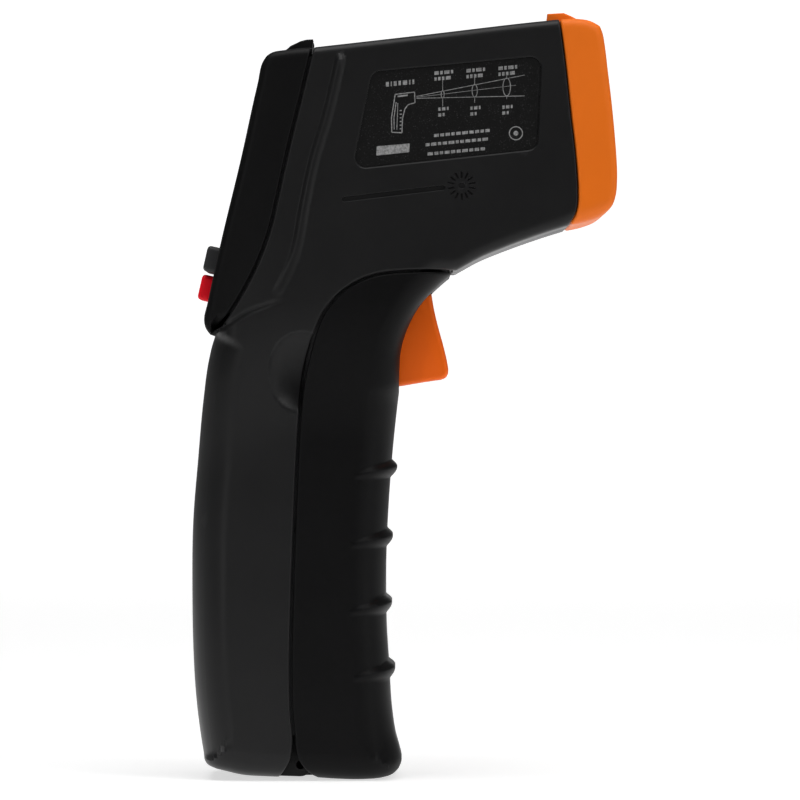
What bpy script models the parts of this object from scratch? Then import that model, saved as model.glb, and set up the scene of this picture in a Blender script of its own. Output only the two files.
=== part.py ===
"""Infrared thermometer, pistol form: housings, optics, display, boards, battery, door, trigger, buttons.

+X is forward (the nose), +Z is up, +Y is to the instrument's left, and the mid-plane is y = 0.
The origin is under the middle of the instrument, on the surface that it stands on.
Sizes are in millimetres. Points in the side view are (x, z).
"""

import math

import bmesh
import bpy
from mathutils import Matrix, Vector

MM = 0.001

# Overall sizes.
GRIP_LENGTH = 92.0  # from the base to the display housing's lower tip
HEAD_REACH = 30.0  # from the trigger's guard to the rear of the nose cap
HEAD_WIDTH = 43.0
GRIP_WIDTH = 34.4
WALL = 2.0

# Gaps.
GAP = 0.3  # between pieces that touch
SEAM = 0.5  # along the seams between mouldings
SLIDE = 0.35  # round a button in its hole
RUN = 0.1  # round a pin in its bore

# Display, rear face and buttons.
WINDOW_WIDTH = 32.0
WINDOW_HEIGHT = 29.0
WINDOW_LOW = 21.5  # up the rear face from its lower end
PANEL_MARGIN = 2.0  # display glass beyond the window, each side
PANEL_THICK = 2.0
BOARD_THICK = 1.4
BOARD_DEPTH = 9.4  # from the rear face to the display board
SWITCH_TALL = 2.3
MAIN_BOARD_Y = 6.2  # the main board lies left of the mid-plane
BUTTON_HEIGHT = 5.4
GREY_BUTTON_WIDTH = 9.0
RED_BUTTON_WIDTH = 12.0
GREY_BUTTON_UP = 12.9
RED_BUTTON_UP = 6.9
BUTTON_SPREAD = 6.5  # grey buttons, each side of the mid-plane
BUTTON_PROUD = 3.0
BUTTON_TRAVEL = 0.8

# Optics.
BARREL_PITCH = math.radians(6.7)
WELL_RADIUS = 7.4
TUBE_WALL = 1.6
TUBE_LENGTH = 26.0
LENS_DEPTH = 7.0
LENS_THICK = 1.8
LENS_DROP = 2.5  # lens axis below the middle of the front
SENSOR_RADIUS = 4.6
SENSOR_FLANGE = 0.6
LASER_RADIUS = 3.0
LASER_LENGTH = 14.0
LASER_RISE = 14.0  # laser axis above the lens axis
LASER_HOLE = 2.2
PLATE_THICK = 2.0
PLATE_RECESS = 1.2

# Battery: the common nine-volt block.
BATTERY_DEEP = 17.5
BATTERY_WIDE = 26.5
BATTERY_TALL = 46.5
BATTERY_FRONT = -20.6
TRAY_WALL = 1.2
SNAP_TALL = 2.9
SNAP_ROOM = 7.0
TRAY_HALF = 8.0

# Door hinge and trigger.
HINGE_X = -21.4
HINGE_Z = 3.1
KNUCKLE_RADIUS = 2.6
KNUCKLE_HALF = 9.0
LUG_THICK = 3.0
PIN_RADIUS = 0.9
TRIGGER_WIDTH = 15.0
TRIGGER_WALL = 1.8
TRIGGER_X = 1.6  # trigger pivot, from the guard's foot
TRIGGER_UP = 9.2
TRIGGER_BOSS = 2.4
TRIGGER_ROOM = 0.5  # beside the trigger in its slot

# Fasteners.
BOSS_RADIUS = 3.1
SCREW_RADIUS = 1.2
SCREW_HEAD_RADIUS = 2.3
SCREW_HEAD_TALL = 1.7
SCREW_SEAT = 9.0  # screw head's seat, from the mid-plane
SCREW_REACH = 7.5  # screw's tip beyond the mid-plane

# Labels, on both sides of the head.
LABEL_RECESS = 0.8
LABEL_THICK = 0.3

CORNER_STEPS = 3
ROUND = 20
FINE_ROUND = 28

NOMINAL_GRIP = 92.0
NOMINAL_REACH = 30.0
GUARD_FOOT = 5.0  # where the head starts to stretch


# ---------------------------------------------------------------- side view


def side(x, z):
    """A point of the side view, carried to the grip length and the head reach that are set."""
    if z < NOMINAL_GRIP:
        z = z * GRIP_LENGTH / NOMINAL_GRIP
    else:
        z = z + GRIP_LENGTH - NOMINAL_GRIP
    stretch = min(max((x - GUARD_FOOT) / NOMINAL_REACH, 0.0), 1.0)
    x = x + stretch * (HEAD_REACH - NOMINAL_REACH)
    rise = stretch * (HEAD_REACH - NOMINAL_REACH) * math.tan(BARREL_PITCH)
    return Vector((x, z + rise))


def sides(points):
    return [side(x, z) for x, z in points]


def bow(start, end, sagitta, share):
    """The point at a share of the way along a shallow arc that bows to the right of its travel."""
    along = end - start
    across = Vector((along.y, -along.x)).normalized()
    return start.lerp(end, share) + across * sagitta * 4.0 * share * (1.0 - share)


def eased(corners, steps=4):
    """A closed outline with each (x, z, ease) corner rounded from ease before it to ease after it."""
    outline = []
    count = len(corners)
    for k, (x, z, ease) in enumerate(corners):
        corner = Vector((x, z))
        if ease == 0.0:
            outline.append(corner)
            continue
        before = Vector(corners[k - 1][:2]) - corner
        after = Vector(corners[(k + 1) % count][:2]) - corner
        start = corner + before.normalized() * min(ease, before.length * 0.49)
        end = corner + after.normalized() * min(ease, after.length * 0.49)
        for step in range(steps + 1):
            t = step / steps
            outline.append(start * (1 - t) ** 2 + corner * 2 * t * (1 - t) + end * t * t)
    return outline


def softened(points, rounds=2):
    """An open line with its corners cut, its ends kept."""
    for _ in range(rounds):
        line = [points[0]]
        for a, b in zip(points, points[1:]):
            line += [a.lerp(b, 0.25), a.lerp(b, 0.75)]
        points = line + [points[-1]]
    return points


def shifted(line, distance):
    """An open line moved to its left."""
    moved = []
    for k, point in enumerate(line):
        along = line[min(k + 1, len(line) - 1)] - line[max(k - 1, 0)]
        moved.append(point + Vector((-along.y, along.x)).normalized() * distance)
    return moved


# Rear face of the display housing, from its lower end to its upper end.
FACE_LOW = side(-41.3, 95.0)
FACE_HIGH = side(-28.8, 150.2)
FACE_TILT = math.atan2(FACE_HIGH.x - FACE_LOW.x, FACE_HIGH.y - FACE_LOW.y)

# Front opening of the nose cap.
FRONT_LOW = side(44.2, 122.0)
FRONT_HIGH = side(41.3, 154.6)
NOSE_MIDDLE = (FRONT_LOW + FRONT_HIGH) / 2
FRONT_TILT = math.atan2(FRONT_LOW.x - FRONT_HIGH.x, FRONT_HIGH.y - FRONT_LOW.y)

# Seams, as open lines in the side view.
DISPLAY_SEAM = softened(sides([(-17.4, 157.0), (-28.0, 111.8), (-33.0, 101.6), (-41.6, 89.0)]))
NOSE_SEAM = softened(sides([(32.2, 161.0), (35.2, 134.0), (37.0, 121.0), (33.4, 111.0)]))
DOOR_SEAM = softened(
    sides(
        [
            (15.0, 105.2),
            (-3.0, 106.3),
            (-15.0, 103.2),
            (-18.6, 90.0),
            (-21.8, 78.0),
            (-23.2, 50.0),
            (-23.9, 22.0),
        ]
    )
)
BODY_TAIL = [Vector(p) for p in ((-23.0, 6.7), (-24.5, 2.6), (-26.8, -1.0))]
DOOR_TAIL = [Vector(p) for p in ((-22.4, 7.0), (-20.6, 2.6), (-17.6, -1.0))]

LABEL_CORNERS = ((-6.5, 146.7), (28.5, 150.0), (27.6, 130.7), (-10.5, 126.6))
SCREW_PLACES = ((-13.0, 146.3), (27.5, 118.6), (7.5, 110.6), (-31.0, 80.0), (-35.0, 5.6))
BOARD_SCREW_PLACES = ((-10.5, 136.5), (2.0, 120.0))
TRAY_FLOOR = side(*SCREW_PLACES[-1]).y + BOSS_RADIUS + GAP
RIDGE_HEIGHTS = (65.1, 50.7, 36.8, 23.1)
RIDGE_PROUD = 1.25
RIDGE_HALF = 2.0
RIDGE_DEEP = 9.5


# ---------------------------------------------------------------- scene and mesh helpers


def clear_scene():
    for obj in list(bpy.data.objects):
        bpy.data.objects.remove(obj, do_unlink=True)


def new_collection(name):
    collection = bpy.data.collections.new(name)
    bpy.context.scene.collection.children.link(collection)
    return collection


def new_material(name, colour, roughness, metallic=0.0, transmission=0.0):
    material = bpy.data.materials.new(name)
    material.use_nodes = True
    shader = material.node_tree.nodes["Principled BSDF"]
    shader.inputs["Base Color"].default_value = (*colour, 1.0)
    shader.inputs["Roughness"].default_value = roughness
    shader.inputs["Metallic"].default_value = metallic
    shader.inputs["Transmission Weight"].default_value = transmission
    return material


def new_object(name, mesh, where=None):
    """An object of this mesh. A piece gets its own material, and a cutter is kept out of renders."""
    obj = bpy.data.objects.new(name, mesh)
    if where is None:
        PIECES.objects.link(obj)
    else:
        where.objects.link(obj)
        obj.hide_render = True
        obj.display_type = "WIRE"
    return obj


def mesh_from(name, bm):
    bmesh.ops.recalc_face_normals(bm, faces=bm.faces)
    mesh = bpy.data.meshes.new(name)
    bm.to_mesh(mesh)
    bm.free()
    return mesh


def evaluated_mesh(obj, name, weld=1e-6):
    """The mesh of an object with its modifiers, or of a curve, with loose caps welded."""
    bpy.context.view_layer.update()
    graph = bpy.context.evaluated_depsgraph_get()
    mesh = bpy.data.meshes.new_from_object(obj.evaluated_get(graph))
    mesh.name = name
    bm = bmesh.new()
    bm.from_mesh(mesh)
    bmesh.ops.remove_doubles(bm, verts=bm.verts, dist=weld)
    bm.to_mesh(mesh)
    bm.free()
    return mesh


def as_mesh(obj, name, where=None):
    """A mesh object in the place of this object, which is removed."""
    mesh = evaluated_mesh(obj, name)
    made = new_object(name, mesh, where)
    made.matrix_world = obj.matrix_world.copy()
    bpy.data.objects.remove(obj, do_unlink=True)
    made.name = name
    return made


def combine(obj, other, operation):
    modifier = obj.modifiers.new(f"{operation.lower()}_{other.name}", "BOOLEAN")
    modifier.operation = operation
    modifier.object = other
    modifier.solver = "EXACT"
    return obj


def box(name, low, high, where=None):
    """A box between two opposite corners (x, y, z)."""
    low, high = Vector(low) * MM, Vector(high) * MM
    bm = bmesh.new()
    bmesh.ops.create_cube(bm, size=1.0)
    bmesh.ops.scale(bm, vec=high - low, verts=bm.verts)
    bmesh.ops.translate(bm, vec=(low + high) / 2, verts=bm.verts)
    return new_object(name, mesh_from(name, bm), where)


def rod(name, radius, start, end, where=None, sides_round=ROUND):
    """A cylinder from one point (x, y, z) to another."""
    start, end = Vector(start) * MM, Vector(end) * MM
    bm = bmesh.new()
    bmesh.ops.create_cone(
        bm,
        cap_ends=True,
        segments=sides_round,
        radius1=radius * MM,
        radius2=radius * MM,
        depth=(end - start).length,
    )
    turn = Vector((0, 0, 1)).rotation_difference(end - start).to_matrix().to_4x4()
    bmesh.ops.transform(bm, matrix=Matrix.Translation((start + end) / 2) @ turn, verts=bm.verts)
    return new_object(name, mesh_from(name, bm), where)


def slab(name, outline, low, high, where=None):
    """A flat outline in the side view, with thickness from y = low to y = high."""
    curve = bpy.data.curves.new(name, "CURVE")
    curve.dimensions = "2D"
    curve.fill_mode = "BOTH"
    curve.extrude = (high - low) / 2 * MM
    spline = curve.splines.new("POLY")
    spline.points.add(len(outline) - 1)
    for point, (x, z) in zip(spline.points, outline):
        point.co = (x * MM, z * MM, 0.0, 1.0)
    spline.use_cyclic_u = True
    drawn = bpy.data.objects.new(f"{name}_outline", curve)
    bpy.context.scene.collection.objects.link(drawn)
    drawn.rotation_euler = (math.pi / 2, 0.0, 0.0)
    drawn.location = (0.0, (low + high) / 2 * MM, 0.0)
    return as_mesh(drawn, name, where)


def wire(name, points, radius):
    """A round wire through points (x, y, z)."""
    curve = bpy.data.curves.new(name, "CURVE")
    curve.dimensions = "3D"
    curve.bevel_depth = radius * MM
    curve.bevel_resolution = 1
    curve.use_fill_caps = True
    spline = curve.splines.new("POLY")
    spline.points.add(len(points) - 1)
    for point, place in zip(spline.points, points):
        point.co = (*(Vector(place) * MM), 1.0)
    drawn = bpy.data.objects.new(f"{name}_path", curve)
    bpy.context.scene.collection.objects.link(drawn)
    return as_mesh(drawn, name)


def turned(name, profile, where=None, steps=FINE_ROUND):
    """A turned piece about z. The profile is (radius, z), from top to bottom on its outer side."""
    mesh = bpy.data.meshes.new(name)
    points = [(radius * MM, 0.0, z * MM) for radius, z in profile]
    mesh.from_pydata(points, [(k, k + 1) for k in range(len(points) - 1)], [])
    obj = new_object(name, mesh, where)
    screw = obj.modifiers.new("turn", "SCREW")
    screw.axis = "Z"
    screw.steps = screw.render_steps = steps
    screw.use_merge_vertices = True
    screw.merge_threshold = 1e-6
    return obj


def smooth_path(points, per_span=4):
    """Points along a smooth curve through these points."""
    points = [Vector(p) for p in points]
    ends = [points[0] * 2 - points[1], *points, points[-1] * 2 - points[-2]]
    path = []
    for a, b, c, d in zip(ends, ends[1:], ends[2:], ends[3:]):
        for step in range(per_span):
            t = step / per_span
            bend = (a * -1 + b * 3 - c * 3 + d) * t**3 + (a * 2 - b * 5 + c * 4 - d) * t**2
            path.append((bend + (c - a) * t + b * 2) / 2)
    return [*path, points[-1]]


def finish(obj, material, smooth=40.0):
    obj.data.materials.clear()
    obj.data.materials.append(material)
    obj.data.shade_smooth()
    obj.data.set_sharp_from_angle(angle=math.radians(smooth))
    return obj


def hang(obj, frame):
    """Places a piece that was made in the frame's own axes."""
    obj.parent = frame
    return obj


def new_frame(name, x, z, tilt):
    frame = bpy.data.objects.new(name, None)
    PIECES.objects.link(frame)
    frame.location = (x * MM, 0.0, z * MM)
    frame.rotation_euler = (0.0, tilt, 0.0)
    frame.empty_display_size = 10 * MM
    return frame


# ---------------------------------------------------------------- outer form


def section(start, end, half, start_round, end_round):
    """A rounded cross-section of the body: its two ends in the side view, half width and corner radii."""
    return (Vector(start), Vector(end), half, start_round, end_round)


def section_ring(cut, inset):
    start, end, half, start_round, end_round = cut
    along = (end - start).normalized()
    length = (end - start).length - 2 * inset
    start = start + along * inset
    half = half - inset
    near = max(start_round - inset, 0.6)
    far = max(end_round - inset, 0.6)
    corners = (
        (length - far, half - far, far, 0.0),
        (near, half - near, near, 90.0),
        (near, near - half, near, 180.0),
        (length - far, far - half, far, 270.0),
    )
    ring = []
    for s, y, radius, first in corners:
        for step in range(CORNER_STEPS + 1):
            angle = math.radians(first + 90.0 * step / CORNER_STEPS)
            place = start + along * (s + radius * math.cos(angle))
            ring.append((place.x, y + radius * math.sin(angle), place.y))
    return ring


def loft(name, cuts, inset=0.0, where=None):
    """A closed body through the cross-sections, each drawn in by inset."""
    bm = bmesh.new()
    rings = []
    for cut in cuts:
        rings.append([bm.verts.new(Vector(p) * MM) for p in section_ring(cut, inset)])
    count = len(rings[0])
    for low, high in zip(rings, rings[1:]):
        for k in range(count):
            bm.faces.new((low[k], low[(k + 1) % count], high[(k + 1) % count], high[k]))
    bm.faces.new(rings[0])
    bm.faces.new(rings[-1])
    return new_object(name, mesh_from(name, bm), where)


def head_cuts():
    """From the rear face to the nose's front. Each section's start is at the head's underside."""
    half = HEAD_WIDTH / 2
    rows = (
        (FACE_LOW, FACE_HIGH, -1.2, 2.0, 2.0),
        (side(-39.9, 92.4), side(-27.4, 150.6), 0.0, 3.0, 2.2),
        (side(-30.0, 93.0), side(-18.7, 151.6), 0.0, 6.0, 2.2),
        (side(-10.0, 97.0), side(0.0, 153.8), 0.0, 7.0, 2.2),
        (side(10.4, 105.3), side(16.0, 155.7), 0.0, 7.0, 2.2),
        (side(23.0, 111.2), side(25.0, 156.8), 0.0, 7.0, 2.2),
        (side(35.0, 115.3), side(31.8, 157.3), -0.4, 6.5, 2.6),
        (side(40.6, 116.9), side(38.4, 157.5), -1.0, 5.5, 3.0),
        (side(43.2, 119.0), side(40.6, 156.6), -1.8, 4.5, 3.0),
        (FRONT_LOW, FRONT_HIGH, -3.0, 3.0, 2.4),
    )
    return [section(low, high, half + more, a, b) for low, high, more, a, b in rows]


def grip_cut(share):
    """The grip between its foot and the trigger's guard."""
    rear = bow(side(-42.3, 8.6), side(-39.4, 91.2), -3.3, share * 0.87)
    front = bow(side(-1.6, 8.6), side(-0.5, 80.6), -2.55, share)
    return section(rear, front, GRIP_WIDTH / 2 - 0.6 + 0.6 * share, 7.0, 7.0)


def grip_cuts():
    """From the base up into the head. Each section's start is at the grip's rear."""
    half = GRIP_WIDTH / 2
    into = HEAD_WIDTH / 2 - half
    foot = (
        section(side(-33.0, 0.0), side(-6.0, 0.0), half - 4.2, 5.0, 5.0),
        section(side(-39.0, 1.7), side(-2.2, 1.0), half - 1.9, 6.0, 6.0),
        section(side(-41.4, 3.8), side(-0.6, 3.2), half - 1.1, 6.5, 6.5),
    )
    steps = 6
    shaft = [grip_cut(k / steps) for k in range(steps)]
    guard = (
        section(side(-41.5, 80.4), side(-0.5, 80.6), half, 7.0, 7.0),
        section(side(-40.5, 86.6), side(-0.9, 87.0), half + into * 0.1, 7.0, 6.5),
        section(side(-39.4, 91.4), side(0.1, 92.0), half + into * 0.25, 7.0, 6.0),
        section(side(-37.4, 95.6), side(1.8, 96.0), half + into * 0.45, 7.0, 5.5),
        section(side(-35.6, 98.6), side(3.5, 99.2), half + into * 0.6, 7.0, 5.0),
        section(side(-34.0, 100.8), side(6.0, 101.3), half + into * 0.72, 7.0, 5.0),
        section(side(-31.0, 104.4), side(10.2, 105.3), half + into * 0.86, 7.0, 5.0),
        section(side(-29.0, 109.0), side(7.5, 110.0), half + into * 0.9, 7.0, 5.0),
    )
    return [*foot, *shaft, *guard]


def section_at(cuts, height):
    """The section of the grip whose front is at this height, between two that are listed."""
    for low, high in zip(cuts, cuts[1:]):
        if low[1].y <= height <= high[1].y:
            t = (height - low[1].y) / (high[1].y - low[1].y)
            numbers = [a + (b - a) * t for a, b in zip(low[2:], high[2:])]
            return section(low[0].lerp(high[0], t), low[1].lerp(high[1], t), *numbers)
    raise ValueError(f"no section at {height}")


def finger_ridge(name, cuts, height):
    """A low ridge round the front of the grip, over a finger's width."""
    middle = side(0.0, height).y
    rows = []
    for offset, proud in ((-1.0, -0.3), (-0.35, 0.75), (0.2, 1.0), (0.75, 0.6), (1.1, -0.3)):
        cut = section_at(cuts, middle + offset * RIDGE_HALF)
        grown = RIDGE_PROUD * proud
        along = (cut[1] - cut[0]).normalized()
        rows.append(
            section(cut[1] - along * RIDGE_DEEP, cut[1] + along * grown, cut[2] + grown * 0.4, 1.0, cut[4])
        )
    return loft(name, rows, where=CUTTERS)


def solid_form():
    grip = grip_cuts()
    form = loft("outer_head", head_cuts(), where=CUTTERS)
    combine(form, loft("outer_grip", grip, where=CUTTERS), "UNION")
    for number, height in enumerate(RIDGE_HEIGHTS, 1):
        combine(form, finger_ridge(f"outer_ridge_{number}", grip, height), "UNION")
    return as_mesh(form, "outer_form", CUTTERS)


def head_cavity(name, inset):
    """The hollow of the head, closed towards the rear face and open at the nose."""
    cuts = head_cuts()
    first, second = cuts[0], cuts[1]
    into = Vector((math.cos(FACE_TILT), -math.sin(FACE_TILT))) * (inset - 0.6)
    cuts[0] = section(first[0] + into, first[1] + into, second[2], 2.0, 2.0)
    cuts[1] = section(second[0] + into * 1.6, second[1] + into * 1.6, second[2], 3.0, 2.2)
    last = cuts[-1]
    out = Vector((math.cos(FRONT_TILT), math.sin(FRONT_TILT))) * 4.0
    cuts.append(section(last[0] + out, last[1] + out, *last[2:]))
    return loft(name, cuts, inset, CUTTERS)


def grip_cavity():
    cuts = grip_cuts()[1:]
    foot = cuts[0]
    up = Vector((0.0, WALL - 0.6))
    cuts[0] = section(foot[0] + up, foot[1] + up, *foot[2:])
    return loft("grip_cavity", cuts[:1] + cuts[2:], WALL, CUTTERS)


def zone(name, line, far):
    """A cutter right through the body: everything on the far corners' side of a line in the side view."""
    outline = [*line, *(Vector(p) for p in far)]
    reach = HEAD_WIDTH
    return slab(name, outline, -reach, reach, CUTTERS)


def display_zone(name, gap):
    top = DISPLAY_SEAM[0].y
    return zone(name, shifted(DISPLAY_SEAM, -gap), ((-90.0, -20.0), (-90.0, top)))


def nose_zone(name, gap):
    low, high = NOSE_SEAM[-1], NOSE_SEAM[0]
    return zone(name, shifted(NOSE_SEAM, gap), ((low.x + 40, low.y - 10), (low.x + 40, high.y)))


def door_zone(name, gap, tail):
    line = [*shifted(DOOR_SEAM, gap), *tail]
    return zone(name, line, ((40.0, -1.0), (40.0, DOOR_SEAM[0].y)))


# ---------------------------------------------------------------- housings


def half_cutter(name, sign):
    """Everything on the far side of the mid-plane from the half that is kept."""
    ends = sorted((-sign * 60.0, sign * SEAM * 0.3))
    return box(name, (-90.0, ends[0], -30.0), (120.0, ends[1], 230.0), CUTTERS)


def label_outline(margin):
    corners = sides(LABEL_CORNERS)
    middle = sum(corners, Vector((0.0, 0.0))) / 4
    grown = [c + (c - middle).normalized() * margin * 1.4 for c in corners]
    return eased([(c.x, c.y, 2.4) for c in reversed(grown)], steps=3)


def hinge_lug(name, sign):
    """Holds one end of the door's pin, on a web from the housing's floor."""
    inner = KNUCKLE_HALF + GAP
    lug = rod(
        name,
        KNUCKLE_RADIUS,
        (HINGE_X, sign * inner, HINGE_Z),
        (HINGE_X, sign * (inner + LUG_THICK), HINGE_Z),
        CUTTERS,
    )
    ends = sorted((sign * inner, sign * (inner + LUG_THICK)))
    low = (HINGE_X - 8.0, ends[0], 1.0)
    high = (HINGE_X - 0.3, ends[1], HINGE_Z + KNUCKLE_RADIUS * 0.8)
    return combine(lug, box(f"{name}_web", low, high, CUTTERS), "UNION")


def housing(name, blank, sign):
    """One half of the body. sign is -1 on the right and +1 on the left."""
    half = combine(new_object(name, blank.data.copy()), half_cutter(f"{name}_half", sign), "DIFFERENCE")
    for number, place in enumerate(SCREW_PLACES, 1):
        x, z = side(*place)
        wide = HEAD_WIDTH if z > GRIP_LENGTH else GRIP_WIDTH
        start = (x, sign * SEAM * 0.3, z)
        boss = rod(f"{name}_boss_{number}", BOSS_RADIUS, start, (x, sign * (wide / 2 - 1.2), z), CUTTERS)
        combine(half, boss, "UNION")
    combine(half, hinge_lug(f"{name}_lug", sign), "UNION")
    reach = KNUCKLE_HALF + GAP + LUG_THICK + 1.0
    bore = rod(
        f"{name}_pin_hole",
        PIN_RADIUS + RUN,
        (HINGE_X, sign * (KNUCKLE_HALF - 2.0), HINGE_Z),
        (HINGE_X, sign * reach, HINGE_Z),
        CUTTERS,
    )
    combine(half, bore, "DIFFERENCE")
    ends = sorted((sign * (HEAD_WIDTH / 2 - LABEL_RECESS), sign * HEAD_WIDTH))
    combine(half, slab(f"{name}_label_recess", label_outline(GAP), *ends, CUTTERS), "DIFFERENCE")
    return half


def right_housing(blank):
    half = housing("housing_right", blank, -1)
    for number, place in enumerate(SCREW_PLACES, 1):
        x, z = side(*place)
        hole = rod(
            f"right_pilot_{number}",
            SCREW_RADIUS + GAP,
            (x, 2.0, z),
            (x, -SCREW_REACH - 1.0, z),
            CUTTERS,
            12,
        )
        combine(half, hole, "DIFFERENCE")
    return half


def left_housing(blank):
    half = housing("housing_left", blank, 1)
    for number, place in enumerate(BOARD_SCREW_PLACES, 1):
        x, z = side(*place)
        start = (x, MAIN_BOARD_Y + BOARD_THICK + GAP, z)
        post = rod(f"board_post_{number}", 2.6, start, (x, HEAD_WIDTH / 2 - 1.2, z), CUTTERS, 16)
        combine(half, post, "UNION")
        mouth, end = (x, MAIN_BOARD_Y, z), (x, MAIN_BOARD_Y + 8.0, z)
        hole = rod(f"board_pilot_{number}", SCREW_RADIUS + GAP, mouth, end, CUTTERS, 12)
        combine(half, hole, "DIFFERENCE")
    for number, place in enumerate(SCREW_PLACES, 1):
        x, z = side(*place)
        start, seat = (x, -2.0, z), (x, SCREW_SEAT, z)
        through = rod(
            f"left_through_{number}", SCREW_RADIUS + GAP, start, (x, HEAD_WIDTH, z), CUTTERS, 12
        )
        combine(half, through, "DIFFERENCE")
        sink = rod(f"left_sink_{number}", BOSS_RADIUS - 0.5, seat, (x, HEAD_WIDTH, z), CUTTERS, 16)
        combine(half, sink, "DIFFERENCE")
    return half


def body_blank(hollow):
    blank = new_object("body_blank", hollow.data.copy(), CUTTERS)
    half = SEAM / 2
    combine(blank, display_zone("display_from_body", -half), "DIFFERENCE")
    combine(blank, nose_zone("nose_from_body", -half), "DIFFERENCE")
    combine(blank, door_zone("door_from_body", -half, BODY_TAIL), "DIFFERENCE")
    return as_mesh(blank, "body_blank_made", CUTTERS)


def rear_sight(name):
    """A low fin across the top rear edge of the display housing."""
    corners = sides([(-25.0, 150.6), (-19.6, 150.6), (-18.9, 153.7), (-21.2, 153.4)])
    return slab(name, corners, -9.0, 9.0, CUTTERS)


def display_housing(hollow):
    piece = new_object("display_housing", hollow.data.copy())
    combine(piece, display_zone("display_kept", SEAM / 2), "INTERSECT")
    combine(piece, rear_sight("rear_sight"), "UNION")
    groove = sides([(-30.0, 151.9), (-15.0, 152.4), (-15.0, 157.0), (-30.0, 157.0)])
    combine(piece, slab("rear_sight_notch", groove, -2, 2, CUTTERS), "DIFFERENCE")
    opening = box(
        "window_opening",
        (-4.0, -WINDOW_WIDTH / 2, WINDOW_LOW),
        (6.0, WINDOW_WIDTH / 2, WINDOW_LOW + WINDOW_HEIGHT),
        CUTTERS,
    )
    combine(piece, hang(opening, DISPLAY_FRAME), "DIFFERENCE")
    for name, y, up, width in button_places():
        hole = box(
            f"{name}_hole",
            (-4.0, y - width / 2 - SLIDE, up - BUTTON_HEIGHT / 2 - SLIDE),
            (6.0, y + width / 2 + SLIDE, up + BUTTON_HEIGHT / 2 + SLIDE),
            CUTTERS,
        )
        combine(piece, hang(hole, DISPLAY_FRAME), "DIFFERENCE")
    return piece


def nose_cap(hollow):
    piece = new_object("nose_cap", hollow.data.copy())
    combine(piece, nose_zone("nose_kept", SEAM / 2), "INTERSECT")
    blade = [(35.8, 157.7), (33.2, 159.1), (29.8, 158.9), (30.0, 157.6), (33.0, 157.6)]
    corners = sides([(33.6, 156.0), (36.6, 156.6), *blade])
    combine(piece, slab("front_sight", corners, -1.6, 1.6, CUTTERS), "UNION")
    return piece


# ---------------------------------------------------------------- display


def button_places():
    return (
        ("button_left", BUTTON_SPREAD, GREY_BUTTON_UP, GREY_BUTTON_WIDTH),
        ("button_right", -BUTTON_SPREAD, GREY_BUTTON_UP, GREY_BUTTON_WIDTH),
        ("button_red", 0.0, RED_BUTTON_UP, RED_BUTTON_WIDTH),
    )


def button(name, y, up, width):
    """A cap through the rear face, with a flange behind it and a foot that meets its switch."""
    tall = BUTTON_HEIGHT / 2
    cap = box(name, (-BUTTON_PROUD, y - width / 2, up - tall), (WALL + 1.4, y + width / 2, up + tall))
    bevel = cap.modifiers.new("soft_edges", "BEVEL")
    bevel.width = 0.9 * MM
    bevel.segments = 2
    foot_end = BOARD_DEPTH - SWITCH_TALL - GAP - BUTTON_TRAVEL
    foot = box(f"{name}_foot", (WALL, y - 1.5, up - 1.5), (foot_end, y + 1.5, up + 1.5), CUTTERS)
    combine(cap, hang(foot, DISPLAY_FRAME), "UNION")
    return hang(cap, DISPLAY_FRAME)


def display_pieces():
    low, high = WINDOW_LOW, WINDOW_LOW + WINDOW_HEIGHT
    half = WINDOW_WIDTH / 2
    window = box("display_window", (0.2, GAP - half, low + GAP), (WALL - 0.4, half - GAP, high - GAP))
    edge = half + PANEL_MARGIN
    panel_face = WALL + GAP + 0.3
    panel_back = panel_face + PANEL_THICK
    glass = box(
        "display_glass",
        (panel_face, -edge, low - PANEL_MARGIN),
        (panel_back, edge, high + PANEL_MARGIN - 1.0),
    )
    guide = box(
        "backlight_guide",
        (panel_back + GAP, -half, low + 2.4),
        (panel_back + GAP + 1.8, half, high),
    )
    strip = box(
        "contact_strip",
        (panel_back + GAP, -half + 1, low - 1.6),
        (BOARD_DEPTH - GAP, half - 1, low + 0.6),
    )
    board = box(
        "display_board",
        (BOARD_DEPTH, -edge, 4.4),
        (BOARD_DEPTH + BOARD_THICK, edge, high + 1.4),
    )
    pieces = [window, glass, guide, strip, board]
    for name, y, up, _ in button_places():
        pieces.append(key_switch(name.replace("button", "key_switch"), y, up))
    for piece in pieces:
        hang(piece, DISPLAY_FRAME)
    return pieces


def key_switch(name, y, up):
    """A small push switch on the display board, under one button."""
    body_face = BOARD_DEPTH - SWITCH_TALL + 0.8
    body = box(name, (body_face, y - 2.6, up - 2.6), (BOARD_DEPTH - GAP, y + 2.6, up + 2.6))
    start, end = (BOARD_DEPTH - SWITCH_TALL, y, up), (body_face + 0.5, y, up)
    return combine(body, hang(rod(f"{name}_key", 1.5, start, end, CUTTERS, 12), DISPLAY_FRAME), "UNION")


# ---------------------------------------------------------------- optics


def front_plate():
    """Black plate in the nose cap's mouth, with the lens well and the laser's hole."""
    plate = head_cavity("front_plate_form", WALL + GAP)
    piece = as_mesh(plate, "front_plate")
    keep = box(
        "front_plate_keep", (-40, -40, -PLATE_RECESS - PLATE_THICK), (40, 40, -PLATE_RECESS), CUTTERS
    )
    combine(piece, hang(keep, NOSE_FRAME), "INTERSECT")
    well = rod("well_hole", WELL_RADIUS, (LENS_DROP, 0, -8), (LENS_DROP, 0, 4), CUTTERS, FINE_ROUND)
    combine(piece, hang(well, NOSE_FRAME), "DIFFERENCE")
    up = LENS_DROP - LASER_RISE
    hole = rod("laser_hole", LASER_HOLE, (up, 0, -8), (up, 0, 4), CUTTERS, 16)
    return combine(piece, hang(hole, NOSE_FRAME), "DIFFERENCE")


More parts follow.
